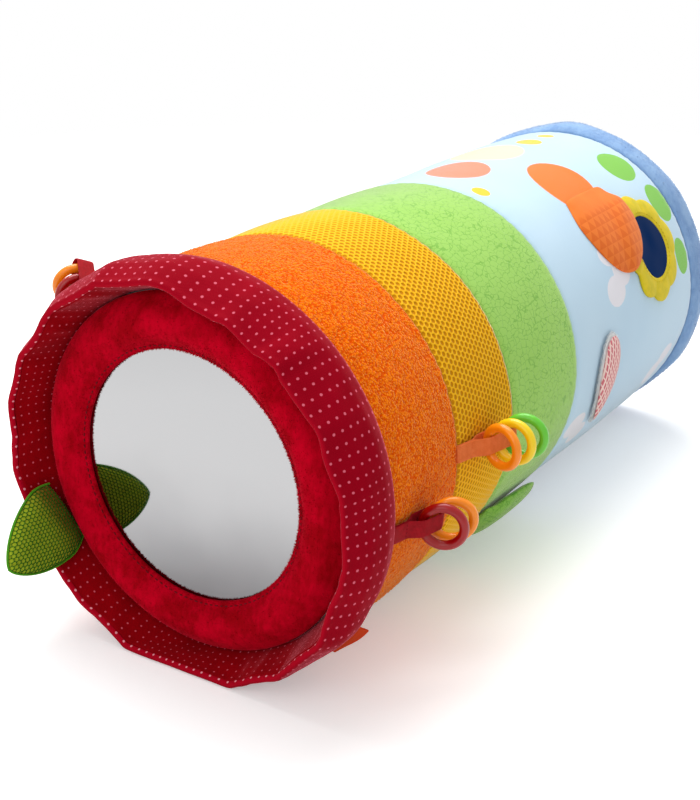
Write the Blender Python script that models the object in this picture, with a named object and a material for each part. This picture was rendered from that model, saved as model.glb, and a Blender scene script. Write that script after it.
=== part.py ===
"""A baby's soft crawling roll: a stuffed fabric drum with a mirror in a deep cuff at one end.

The roll lies along Y with its mirror at -Y, and rests on z = 0 on the flat that its own weight
presses into it. Angles round the roll run from +X towards +Z. Soft pieces have their stuffed form.
"""

import math

import bmesh
import bpy
from mathutils import Vector

MM = 0.001

# The roll and its fabric bands, front to rear
body_radius = 105 * MM
orange_width = 72 * MM
yellow_width = 64 * MM
green_width = 84 * MM
sky_width = 190 * MM
blue_width = 28 * MM
rear_crown = 7 * MM
half_way_crown_share = 2 / 3

# Fabric and filling
fabric = 2 * MM
plush = 2.5 * MM
seam_dip = 0.6 * MM
seam_round = 2 * MM
seam_rise_share = 1 / 3
pressed_fabric = 0.8 * MM
gap = 0.3 * MM
core_clearance = 1.0 * MM
orange_bulge = 1.8 * MM
yellow_bulge = 1.2 * MM
green_bulge = 1.2 * MM
sky_bulge = 1.0 * MM
blue_bulge = 3 * MM
rear_edge_round = 12 * MM
core_front_overhang = 6 * MM
core_front_round = 6 * MM

# The cuff ahead of the mirror: outer fabric folded over its lining, in flat pleated facets
cuff_depth = 36 * MM
cuff_flare = 4.6 * MM
cuff_cloth = 1.8 * MM
cuff_fold = 2.2 * MM
cuff_pleat_depth = 2.4 * MM
lining_root_depth = 11 * MM
lining_root_inset = 5.6 * MM
lining_bow_power = 0.85
cuff_pleats = 18
cuff_overlap = 6 * MM
cuff_swell = 8 * MM
cuff_swell_shares = ((0, 0.38), (0.08, 0.78), (0.3, 1), (0.6, 0.75), (0.85, 0.25), (0.93, 0), (1, 0))
cuff_overlap_shares = ((0, 1), (0.08, 0.67), (0.3, 0.2), (0.6, 0), (1, 0))

# The plush ring, the mirror that it holds and the foam disc behind
mirror_thickness = 1.5 * MM
mirror_recess = 15.4 * MM
mirror_lip = 3.3 * MM
lip_thickness = 1.4 * MM
plush_ring_inset = 9.1 * MM
plush_ring_width = 27.7 * MM
plush_ring_edge = 14 * MM
plush_crest = 24 * MM

# The stuffed leaf in front, sewn in between the plush ring and the lining
leaf_angle = math.radians(-155)
leaf_length = 54 * MM
leaf_width = 43 * MM
leaf_thickness = 7 * MM
leaf_droop = math.radians(15)
leaf_lean_in = math.radians(3)
leaf_root_depth = 18.5 * MM
leaf_root_inset = 8.6 * MM
net_cloth = 0.5 * MM
net_gap = 0.6 * MM

# The ribbon straps and the rings on them
ribbon_width = 9.8 * MM
ribbon_thickness = 0.9 * MM
strap_end_clearance = 0.5 * MM
sewn_end_share = 2 / 3
eye_slope_length = 9 * MM
ring_radius = 10.5 * MM
ring_tube = 2.5 * MM
rim_clearance = 0.6 * MM
rim_pitch = 7.2 * MM

red_strap_angle = math.radians(-7)
red_strap_length = 35 * MM
red_strap_lean = math.radians(11)
orange_strap_angle = math.radians(3.2)
orange_strap_length = 42 * MM
orange_strap_lean = math.radians(14)
far_strap_angle = math.radians(142)
far_strap_length = 38 * MM
far_strap_lean = math.radians(54)
far_strap_twist = math.radians(-90)

# The sewn-on pieces along the side
side_mirror_place = 350 * MM
side_mirror_angle = math.radians(27.5)
side_mirror_radius = 21 * MM
side_mirror_thickness = 1.4 * MM
petal_reach = 37 * MM
petal_scallop = 3.2 * MM
petal_thickness = 2.4 * MM
petals = 8

peek_flap_place = 311 * MM
peek_flap_angle = math.radians(56)
peek_flap_length = 61 * MM
peek_flap_width = 71 * MM
peek_flap_root_width = 46 * MM
peek_flap_thickness = 4.4 * MM
peek_flap_climb = 14 * MM

wing_place = 279 * MM
wing_angle = math.radians(-8)
wing_height = 60 * MM
wing_width = 33 * MM
wing_tilt = math.radians(10)
wing_lift = math.radians(6)
wing_edge = 2.6 * MM
wing_fullness = 1.12
wing_peak_share = 1 / 12
wing_back_thickness = 2.2 * MM
wing_front_thickness = 2.6 * MM

green_flap_angle = math.radians(-42)
green_flap_length = 74 * MM
green_flap_width = 42 * MM
green_flap_root_width = 34 * MM
green_flap_thickness = 7 * MM
green_flap_lift = math.radians(3.5)

tag_angle = math.radians(-45)
tag_width = 26 * MM
tag_length = 11 * MM
tag_thickness = 1.2 * MM
tag_lift = math.radians(24)

# Facets
round_facets = 36
row_crowding_power = 1.35
facets_per_pleat = 4
ring_facets = 18
tube_facets = 8

rest_half_angle = math.tau / round_facets
axis_height = body_radius * math.cos(rest_half_angle)
whole_length = (cuff_depth + orange_width + yellow_width + green_width + sky_width + blue_width
                + rear_crown)
cuff_seam = cuff_depth - whole_length / 2
orange_seam = cuff_seam + orange_width
cuff_strap_seam = cuff_seam + cuff_overlap + ribbon_thickness
yellow_seam = orange_seam + yellow_width
green_seam = yellow_seam + green_width
sky_seam = green_seam + sky_width
blue_edge = sky_seam + blue_width
band_inner_radius = body_radius - seam_dip - fabric
lining_root_radius = body_radius - lining_root_inset
plush_ring_radius = body_radius - plush_ring_inset
mirror_radius = plush_ring_radius + mirror_lip - plush_ring_width
leaf_root_radius = body_radius - leaf_root_inset
down = -math.pi / 2

bands = (
    ("orange_band", cuff_seam, orange_seam, orange_bulge, (0.93, 0.25, 0.01), 0.95),
    ("yellow_band", orange_seam, yellow_seam, yellow_bulge, (0.90, 0.50, 0.02), 0.85),
    ("green_band", yellow_seam, green_seam, green_bulge, (0.27, 0.55, 0.10), 0.85),
    ("sky_band", green_seam, sky_seam, sky_bulge, (0.42, 0.68, 0.83), 0.80),
)


def clear_scene():
    for old in list(bpy.data.objects):
        bpy.data.objects.remove(old, do_unlink=True)


def look(name, colour, roughness, metallic=0.0):
    made = bpy.data.materials.get(name)
    if made is None:
        made = bpy.data.materials.new(name)
        made.use_nodes = True
        shader = made.node_tree.nodes["Principled BSDF"]
        shader.inputs["Base Color"].default_value = (*colour, 1)
        shader.inputs["Roughness"].default_value = roughness
        shader.inputs["Metallic"].default_value = metallic
    return made


def add_piece(name, points, faces, material, pivot=(0, 0, 0), parent=None):
    """One closed mesh, given in the roll's own frame, with its origin at pivot."""
    pivot = Vector(pivot)
    mesh = bpy.data.meshes.new(name)
    mesh.from_pydata([Vector(point) - pivot for point in points], [], faces)
    face_out(mesh)
    mesh.shade_smooth()
    mesh.set_sharp_from_angle(angle=math.radians(50))
    mesh.materials.append(material)
    piece = bpy.data.objects.new(name, mesh)
    bpy.context.scene.collection.objects.link(piece)
    piece.location = pivot
    if parent is not None:
        piece.parent = parent
        piece.location = pivot - parent.matrix_world.translation
    bpy.context.view_layer.update()
    return piece


def face_out(mesh):
    """Makes the faces agree and face outwards."""
    shape = bmesh.new()
    shape.from_mesh(mesh)
    bmesh.ops.recalc_face_normals(shape, faces=shape.faces)
    shape.to_mesh(mesh)
    shape.free()


def smooth_step(share):
    share = min(max(share, 0.0), 1.0)
    return share * share * (3 - 2 * share)


def on_roll(y, angle, radius):
    return Vector((radius * math.cos(angle), y, axis_height + radius * math.sin(angle)))


def outward(angle):
    return Vector((math.cos(angle), 0, math.sin(angle)))


def around(angle):
    return Vector((-math.sin(angle), 0, math.cos(angle)))


def turned(name, outline, material, facets=round_facets, ripple=None, slide=None):
    """Turns a closed outline of (y, radius, lowest) round the roll's axis.

    An outline that starts and ends on the axis makes a disc or a core, and any other makes a
    sleeve. No point goes below its own lowest height over the floor.
    """
    points, faces, rows = [], [], []
    for y, radius, lowest in outline:
        if radius == 0:
            rows.append([len(points)])
            points.append(Vector((0, y, axis_height)))
            continue
        row = []
        for step in range(facets):
            angle = down + math.tau * step / facets
            reach = radius + (ripple(y, angle) if ripple else 0)
            point = on_roll(y + (slide(y, angle) if slide else 0), angle, reach)
            point.z = max(point.z, lowest)
            row.append(len(points))
            points.append(point)
        rows.append(row)
    closed = len(rows[0]) > 1
    for index in range(len(rows) if closed else len(rows) - 1):
        first, second = rows[index], rows[(index + 1) % len(rows)]
        for step in range(facets):
            after = (step + 1) % facets
            if len(first) == 1:
                faces.append((first[0], second[after], second[step]))
            elif len(second) == 1:
                faces.append((first[step], first[after], second[0]))
            else:
                faces.append((first[step], first[after], second[after], second[step]))
    return add_piece(name, points, faces, material)


def band_skin(start, end, bulge):
    """The outer skin of a stuffed band between its seams, as (y, radius)."""
    length_shares = (0.25, 0.5, 0.75)
    skin = [(start + gap / 2, body_radius - seam_dip)]
    skin.append((start + seam_round, body_radius + bulge * seam_rise_share))
    for share in length_shares:
        skin.append((start + (end - start) * share, body_radius + bulge * math.sin(math.pi * share)))
    skin.append((end - seam_round, body_radius + bulge * seam_rise_share))
    skin.append((end - gap / 2, body_radius - seam_dip))
    return skin


def skin_radius(y):
    """The roll's outer radius at y, on any of the four plain bands."""
    for _, start, end, bulge, _, _ in bands:
        if start <= y <= end:
            skin = band_skin(start, end, bulge)
            for (y_1, radius_1), (y_2, radius_2) in zip(skin, skin[1:]):
                if y_1 <= y <= y_2:
                    return radius_1 + (radius_2 - radius_1) * (y - y_1) / (y_2 - y_1)
    return body_radius


def blue_skin():
    """The rear plush ring's outer skin, which rolls over the end of the drum."""
    skin = [(sky_seam + gap / 2, body_radius - seam_dip)]
    skin.append((sky_seam + seam_round, body_radius + blue_bulge * seam_rise_share))
    start = blue_edge - rear_edge_round
    top = body_radius + blue_bulge
    middle_rise_share = 0.8
    skin.append(((sky_seam + start) / 2, body_radius + blue_bulge * middle_rise_share))
    for share in (0, 0.25, 0.5, 0.75, 1):
        turn = share * math.pi / 2
        y = start + rear_edge_round * math.sin(turn)
        skin.append((y, top - rear_edge_round * (1 - math.cos(turn))))
    return skin


def inset(skin, depth):
    """The same skin, moved towards the axis and drawn in at its rolled end."""
    moved = []
    for index, (y, radius) in enumerate(skin):
        before, after = skin[max(index - 1, 0)], skin[min(index + 1, len(skin) - 1)]
        along = Vector((after[0] - before[0], after[1] - before[1])).normalized()
        moved.append((y + along.y * depth, radius - along.x * depth))
    moved[0] = (skin[0][0], moved[0][1])
    moved[-1] = (moved[-1][0], skin[-1][1])
    return moved


def make_filling_core():
    outline = [(cuff_seam - core_front_overhang, 0, 0)]
    face_radius = band_inner_radius - gap - core_front_round
    lowest = cuff_cloth + gap
    for share in (0, 1 / 3, 2 / 3, 1):
        turn = share * math.pi / 2
        y = cuff_seam - core_front_overhang + core_front_round * (1 - math.cos(turn))
        outline.append((y, face_radius + core_front_round * math.sin(turn), lowest))
    outline.append((sky_seam - gap / 2, band_inner_radius - gap, pressed_fabric + gap))
    for y, radius in inset(blue_skin(), plush + core_clearance):
        outline.append((y, radius, pressed_fabric + core_clearance))
    panel_back = blue_edge - plush - gap
    outline.append((panel_back + rear_crown * half_way_crown_share, rear_panel_radius() / 2, lowest))
    outline.append((panel_back + rear_crown, 0, 0))
    material = look("filling", (0.85, 0.85, 0.83), 0.95)
    return turned("filling_core", outline, material)


def make_bands():
    for name, start, end, bulge, colour, roughness in bands:
        skin = band_skin(start, end, bulge)
        outline = [(y, radius, 0) for y, radius in skin]
        inner = [(y, band_inner_radius, pressed_fabric) for y in (skin[-1][0], skin[0][0])]
        turned(name, outline + inner, look(name, colour, roughness))


def rear_panel_radius():
    return body_radius + blue_bulge - rear_edge_round - gap


def make_rear_end():
    skin = blue_skin()
    outline = [(y, radius, 0) for y, radius in skin]
    inner = [(y, radius, pressed_fabric) for y, radius in inset(skin, plush)]
    blue = look("blue_plush", (0.16, 0.30, 0.62), 0.95)
    turned("blue_end_ring", outline + inner[::-1], blue)
    radius = rear_panel_radius()
    panel = [
        (blue_edge + rear_crown, 0, 0),
        (blue_edge + rear_crown * half_way_crown_share, radius / 2, 0),
        (blue_edge, radius, 0),
        (blue_edge - plush, radius, 0),
        (blue_edge - plush + rear_crown * half_way_crown_share, radius / 2, 0),
        (blue_edge - plush + rear_crown, 0, 0),
    ]
    turned("rear_panel", panel, blue)


def make_mirror():
    """The front mirror and, behind it, the foam disc that keeps it flat."""
    back = cuff_seam - core_front_overhang - gap
    mirror_back = cuff_seam - mirror_recess + mirror_thickness
    disc = [
        (back, 0, 0),
        (back, mirror_radius, 0),
        (mirror_back + gap, mirror_radius, 0),
        (mirror_back + gap, 0, 0),
    ]
    turned("mirror_support", disc, look("foam", (0.80, 0.80, 0.78), 0.95))
    glass = [
        (mirror_back, 0, 0),
        (mirror_back, mirror_radius, 0),
        (cuff_seam - mirror_recess, mirror_radius, 0),
        (cuff_seam - mirror_recess, 0, 0),
    ]
    turned("front_mirror", glass, look("mirror_film", (0.80, 0.80, 0.80), 0.06, 1.0))


def make_plush_ring():
    """A stuffed ring: its crest stands ahead of the mirror, and its lip laps over the edge."""
    back = cuff_seam - core_front_overhang - gap
    bore = mirror_radius + gap
    lip = plush_ring_radius - plush_ring_width
    lip_back = cuff_seam - mirror_recess - gap
    edge = cuff_seam - plush_ring_edge
    crest = cuff_seam - plush_crest
    outline = [(back, bore, 0), (back, plush_ring_radius - core_front_round / 2, 0)]
    outline.append((edge, plush_ring_radius, 0))
    crest_shares = ((0.10, 0.50), (0.30, 0.90), (0.50, 1.00), (0.72, 0.84), (0.92, 0.42))
    for inward_share, rise_share in crest_shares:
        radius = plush_ring_radius - plush_ring_width * inward_share
        outline.append((edge + (crest - edge) * rise_share, radius, 0))
    outline.append((lip_back - lip_thickness, lip, 0))
    outline.append((lip_back, lip, 0))
    outline.append((lip_back, bore, 0))
    turned("plush_ring", outline, look("red_plush", (0.42, 0.0, 0.03), 0.95))


def cuff_radius(y):
    return body_radius + cuff_flare * math.sin(math.pi / 2 * (cuff_seam - y) / cuff_depth)


def pleat_ripple(y, angle):
    """How far a pleat's flat facet lies inside its corners, growing towards the rim."""
    rise = smooth_step((cuff_seam - y) / cuff_depth)
    across = abs(math.sin(cuff_pleats * (angle - down) / 2))
    return -cuff_pleat_depth * rise * across


def along_table(table, share):
    """A value between the two rows of a table on either side of a share."""
    for (low, first), (high, second) in zip(table, table[1:]):
        if share <= high:
            return first + (second - first) * max(share - low, 0) / (high - low)
    return table[-1][1]


def cuff_form(y, angle):
    """The pleats, and the cloth's swell, which fades out towards the floor."""
    raised_share = smooth_step((1 + math.sin(angle)) / 0.5)
    swell = cuff_swell * along_table(cuff_swell_shares, (cuff_seam - y) / cuff_depth)
    return pleat_ripple(y, angle) + swell * raised_share


def cuff_slide(y, angle):
    """How far the swollen cloth laps over the band behind its seam, clear of the floor."""
    lapped_share = smooth_step((1 + math.sin(angle) - 0.40) / 0.47)
    return cuff_overlap * lapped_share * along_table(cuff_overlap_shares, (cuff_seam - y) / cuff_depth)


def make_cuff():
    """The dotted outer cloth, folded over at the rim in front of its lining."""
    facets = cuff_pleats * facets_per_pleat
    red = look("red_dotted_cloth", (0.48, 0.005, 0.03), 0.85)
    rim = cuff_seam - cuff_depth
    wall = cuff_cloth + gap + cuff_cloth
    fold_back = rim + cuff_fold
    rim_radius = cuff_radius(rim)
    depth_shares = (0, 0.08, 0.3, 0.6, 0.85)
    steps = [cuff_seam - gap / 2 - cuff_depth * share for share in depth_shares]
    outline = [(y, cuff_radius(y), 0) for y in steps]
    outline.append((fold_back, cuff_radius(fold_back), 0))
    outline.append((rim + cuff_fold / 4, rim_radius - cuff_fold / 4, 0))
    outline.append((rim, rim_radius - wall / 2, wall / 2))
    outline.append((rim + cuff_fold / 4, rim_radius - wall + cuff_fold / 4, wall - cuff_fold / 4))
    outline.append((fold_back - gap, rim_radius - wall, wall))
    outline.append((fold_back - gap, rim_radius - cuff_cloth, cuff_cloth))
    outline += [(y, cuff_radius(y) - cuff_cloth, cuff_cloth) for y in steps[::-1]]
    turned("cuff_outer", outline, red, facets, cuff_form, cuff_slide)

    root = cuff_seam - lining_root_depth
    front = fold_back
    front_radius = rim_radius - cuff_cloth - gap
    lining = []
    for share in (0, 0.35, 0.7, 1):
        y = root + (front - root) * share
        radius = lining_root_radius + (front_radius - lining_root_radius) * share ** lining_bow_power
        lining.append((y, radius))
    lowest = cuff_cloth + gap
    outline = [(y, radius, lowest) for y, radius in lining]
    outline += [(y, radius - cuff_cloth, lowest + cuff_cloth) for y, radius in lining[::-1]]
    turned("cuff_lining", outline, red, facets, pleat_ripple)


def crown(across_share):
    """A stuffed piece's height across its width, full in the middle and none at the edge."""
    return (1 - abs(across_share) ** 2.4) ** 0.6


def rise_from_root(share, root_share, full_share):
    """How a flap thickens or widens from its sewn root to where it is full."""
    return root_share + (1 - root_share) * smooth_step(share / full_share)


def flap(name, place, length, half_width, half_thickness, material, pivot, rows=8, columns=6,
         skin=0.0, parent=None):
    """A stuffed flap on a grid of rows along it and columns across, rounded shut at its end.

    place(along, across, height) sets it in the roll's frame. With a skin it is only the cloth
    sleeve over such a flap, open at the root.
    """
    def row_of(row, grow):
        """How far along the flap a row lies, as a share and a length, and its half width."""
        share = 1 - (1 - row / rows) ** row_crowding_power
        return share, (length + grow) * share, half_width(share) + grow

    def surface_row(row, side, grow):
        share, along, reach = row_of(row, grow)
        line = []
        for column in range(1, columns):
            across_share = 2 * column / columns - 1
            height = half_thickness(share) * crown(across_share) + grow
            line.append(place(along, reach * across_share, side * height))
        return line

    def shell(grow):
        loops = []
        for row in range(rows):
            _, along, reach = row_of(row, grow)
            loop = [place(along, -reach, 0)] + surface_row(row, 1, grow) + [place(along, reach, 0)]
            loops.append(loop + surface_row(row, -1, grow)[::-1])
        return loops, place(length + grow, 0, 0)

    points, faces = [], []

    def add_shell(grow):
        loops, tip = shell(grow)
        start = len(points)
        for loop in loops:
            points.extend(loop)
        count = len(loops[0])
        for row in range(len(loops) - 1):
            for step in range(count):
                a = start + row * count + step
                b = start + row * count + (step + 1) % count
                faces.append((a, b, b + count, a + count))
        points.append(tip)
        last = start + (len(loops) - 1) * count
        for step in range(count):
            faces.append((last + step, last + (step + 1) % count, len(points) - 1))
        return list(range(start, start + count))

    if skin:
        inner = add_shell(net_gap)
        for face in range(len(faces)):
            faces[face] = faces[face][::-1]
        outer = add_shell(net_gap + skin)
        for step in range(len(inner)):
            after = (step + 1) % len(inner)
            faces.append((inner[step], inner[after], outer[after], outer[step]))
    else:
        root = add_shell(0.0)
        faces.append(tuple(reversed(root)))
    return add_piece(name, points, faces, material, pivot, parent)


def make_front_leaf():
    """The stuffed leaf that stands forward in the cuff, and the net cloth over it."""
    root = on_roll(cuff_seam - leaf_root_depth, leaf_angle, leaf_root_radius)
    normal, side = outward(leaf_angle), around(leaf_angle)
    forward = Vector((0, -math.cos(leaf_lean_in), 0)) - normal * math.sin(leaf_lean_in)
    normal_tilted = forward.cross(side).normalized()
    along_way = forward * math.cos(leaf_droop) + side * math.sin(leaf_droop)
    across_way = along_way.cross(normal_tilted).normalized()

    def place(along, across, height):
        return root + along_way * along + across_way * across + normal_tilted * height

    def half_width(share):
        base_share = 0.74
        swell = base_share + (1 - base_share) * math.sin(math.pi * min(share / 0.6, 1) ** 0.9)
        return leaf_width / 2 * swell * (1 - share ** 2.6) ** 0.75

    def half_thickness(share):
        return leaf_thickness / 2 * rise_from_root(share, 0.30, 0.35) * (1 - share ** 3) ** 0.5

    green = look("green_leaf_cloth", (0.20, 0.33, 0.02), 0.9)
    leaf = flap("front_leaf", place, leaf_length, half_width, half_thickness, green, root)
    net = look("green_net", (0.10, 0.36, 0.03), 0.8)
    flap("front_leaf_net", place, leaf_length, half_width, half_thickness, net, root,
         skin=net_cloth, parent=leaf)


def make_green_flap():
    """A stuffed leaf sewn in the seam between the yellow and green bands, low on the side."""
    root_share = 0.25
    lift_height = gap + green_flap_thickness / 2
    root_height = gap + green_flap_thickness / 2 * root_share
    axis_radius = body_radius + green_bulge * seam_rise_share + root_height

    def place(along, across, height):
        y = yellow_seam + gap + along
        ease = smooth_step(along / (green_flap_thickness * 2))
        base = axis_radius + (skin_radius(y) + lift_height - axis_radius) * ease
        radius = base + along * math.tan(green_flap_lift) + height
        return on_roll(y, green_flap_angle + across / body_radius, radius)

    def half_width(share):
        narrow_share = green_flap_root_width / green_flap_width
        swell = narrow_share + (1 - narrow_share) * math.sin(math.pi / 2 * min(share / 0.4, 1))
        return green_flap_width / 2 * swell * (1 - share ** 3) ** 0.6

    def half_thickness(share):
        rise = rise_from_root(share, root_share, 0.3)
        return green_flap_thickness / 2 * rise * (1 - share ** 4) ** 0.5

    pivot = on_roll(yellow_seam + gap, green_flap_angle, axis_radius)
    material = look("green_flap_cloth", (0.17, 0.42, 0.06), 0.85)
    flap("green_leaf_flap", place, green_flap_length, half_width, half_thickness, material, pivot)


def petal_outline(angle):
    return petal_reach - petal_scallop * (1 - abs(math.cos(petals * angle / 2))) * 2


def dome_over_roll(name, middle_y, middle_angle, rings, material, steps=32):
    """A thin sewn-on piece that follows the roll, from rings of (reach, height) round its middle.

    A reach is a length or a function of the angle. With the first reach at zero it is a disc,
    and otherwise a ring with a hole.
    """
    points, faces, rows = [], [], []
    for reach, height in rings:
        row = []
        for step in range(steps):
            angle = math.tau * step / steps
            out = reach(angle) if callable(reach) else reach
            y = middle_y + out * math.cos(angle)
            turn = middle_angle + out * math.sin(angle) / body_radius
            row.append(len(points))
            points.append(on_roll(y, turn, skin_radius(y) + height))
            if out == 0:
                break
        rows.append(row)
    closed = len(rows[0]) > 1
    for index in range(len(rows) if closed else len(rows) - 1):
        first, second = rows[index], rows[(index + 1) % len(rows)]
        for step in range(steps):
            after = (step + 1) % steps
            if len(first) == 1:
                faces.append((first[0], second[step], second[after]))
            elif len(second) == 1:
                faces.append((first[after], first[step], second[0]))
            else:
                faces.append((first[after], first[step], second[step], second[after]))
    add_piece(name, points, faces, material)


def make_side_mirror():
    y, angle = cuff_seam + side_mirror_place, side_mirror_angle
    hole = side_mirror_radius + gap
    top = gap + petal_thickness
    yellow = look("yellow_petal_cloth", (0.85, 0.62, 0.03), 0.85)
    rings = [(hole, gap), (hole, top - gap), (hole + petal_thickness, top)]
    rings.append((lambda turn: petal_outline(turn) - petal_thickness / 2, top))
    rings.append((petal_outline, (gap + top) / 2))
    rings.append((lambda turn: petal_outline(turn) - petal_thickness / 2, gap))
    dome_over_roll("petal_surround", y, angle, rings, yellow)
    glass = look("side_mirror_film", (0.62, 0.66, 0.72), 0.06, 1.0)
    thick = gap + side_mirror_thickness
    reaches = (0, side_mirror_radius / 2, side_mirror_radius)
    rings = [(reach, gap) for reach in reaches] + [(reach, thick) for reach in reaches[::-1]]
    dome_over_roll("side_mirror", y, angle, rings, glass)


def make_peek_flap():
    """A thin padded oval, hinged along its top, that hangs down over part of the side mirror."""
    middle_y = cuff_seam + peek_flap_place
    half = peek_flap_thickness / 2
    axis_radius = skin_radius(middle_y) + half + gap
    over_petals = petal_thickness + gap

    def place(along, across, height):
        y = middle_y + across
        climb = over_petals * smooth_step(along / peek_flap_climb)
        radius = skin_radius(y) + gap + half + climb + height
        return on_roll(y, peek_flap_angle - along / body_radius, radius)

    def half_width(share):
        root_share = peek_flap_root_width / peek_flap_width
        swell = root_share + (1 - root_share) * math.sin(math.pi / 2 * min(share / 0.45, 1))
        return peek_flap_width / 2 * swell * (1 - max(share, 0) ** 3.2) ** 0.6

    def half_thickness(share):
        return half * rise_from_root(share, 0.35, 0.3) * (1 - share ** 4) ** 0.5

    pivot = on_roll(middle_y, peek_flap_angle, axis_radius)
    material = look("orange_flap_cloth", (0.88, 0.28, 0.02), 0.85)
    flap("peek_flap", place, peek_flap_length, half_width, half_thickness, material, pivot)


def make_wing():
    """A padded wing on a fluffy white backing, sewn on at its right edge and standing off."""
    hinge_y = cuff_seam + wing_place
    material_back = look("white_terry", (0.80, 0.82, 0.82), 0.95)
    material_front = look("pink_check_cloth", (0.78, 0.28, 0.32), 0.85)
    base_radius = skin_radius(hinge_y) + gap
    pivot = on_roll(hinge_y, wing_angle, base_radius)

    def outline(turn, grow):
        """A teardrop, round at its top and pointed below, as (from the hinge, up)."""
        half_height = wing_height / 2 - wing_edge + grow
        half_width = wing_width / 2 - wing_edge + grow
        up = -half_height * math.cos(turn)
        fullness = wing_fullness * math.sin(turn / 2) ** 0.8
        out = half_width * fullness * math.sin(turn)
        return out * math.cos(wing_tilt) - up * math.sin(wing_tilt) / 2, up

    def rings_of(grow, thickness, base):
        steps = 24
        edge = [outline(math.tau * (step + 0.5) / steps, grow) for step in range(steps)]
        points, faces = [], []
        middle_up = wing_height * wing_peak_share
        shares = (0.0, 0.5, 0.85, 1.0)
        rows = []
        for side in (1, -1):
            for share in shares if side > 0 else shares[-2::-1]:
                row = []
                crown = (1 - share ** 2.6) ** 0.6 * thickness / 2
                for out, up in edge:
                    across = wing_width / 2 + out * share
                    rise = middle_up + (up - middle_up) * share
                    height = base + side * crown + across * math.tan(wing_lift)
                    y = hinge_y - across
                    turn = wing_angle + rise / body_radius
                    row.append(len(points))
                    points.append(on_roll(y, turn, base_radius + height))
                    if share == 0:
                        break
                rows.append(row)
        for first, second in zip(rows, rows[1:]):
            for step in range(steps):
                after = (step + 1) % steps
                if len(first) == 1:
                    faces.append((first[0], second[step], second[after]))
                elif len(second) == 1:
                    faces.append((first[after], first[step], second[0]))
                else:
                    faces.append((first[after], first[step], second[step], second[after]))
        return points, faces

    points, faces = rings_of(wing_edge, wing_back_thickness, 0.0)
    back = add_piece("wing_backing", points, faces, material_back, pivot)
    stacked = (wing_back_thickness + wing_front_thickness) / 2 + gap
    points, faces = rings_of(0.0, wing_front_thickness, stacked)
    add_piece("wing_front", points, faces, material_front, pivot, back)


def make_tag():
    """The blank sewn-in tag under the front edge of the orange band."""
    axis_radius = body_radius + tag_thickness / 2 + gap
    points = []
    columns = 4
    rows = ((0, 1), (1 / 3, 1), (1, 1), (1, -1), (1 / 3, -1), (0, -1))
    for share, side in rows:
        along = tag_length * share
        for column in range(columns + 1):
            across = tag_width * (column / columns - 0.5)
            y = cuff_seam + gap + along * math.cos(tag_lift)
            radius = axis_radius + along * math.sin(tag_lift) + side * tag_thickness / 2
            points.append(on_roll(y, tag_angle + across / body_radius, radius))
    width = columns + 1
    faces = []
    for row in range(len(rows)):
        after = (row + 1) % len(rows)
        for column in range(columns):
            a, b = row * width + column, after * width + column
            faces.append((a, a + 1, b + 1, b))
    faces.append(tuple(row * width for row in reversed(range(len(rows)))))
    faces.append(tuple(row * width + columns for row in range(len(rows))))
    pivot = on_roll(cuff_seam + gap, tag_angle, axis_radius)
    add_piece("seam_tag", points, faces, look("tag_cloth", (0.75, 0.10, 0.02), 0.85), pivot)


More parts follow.
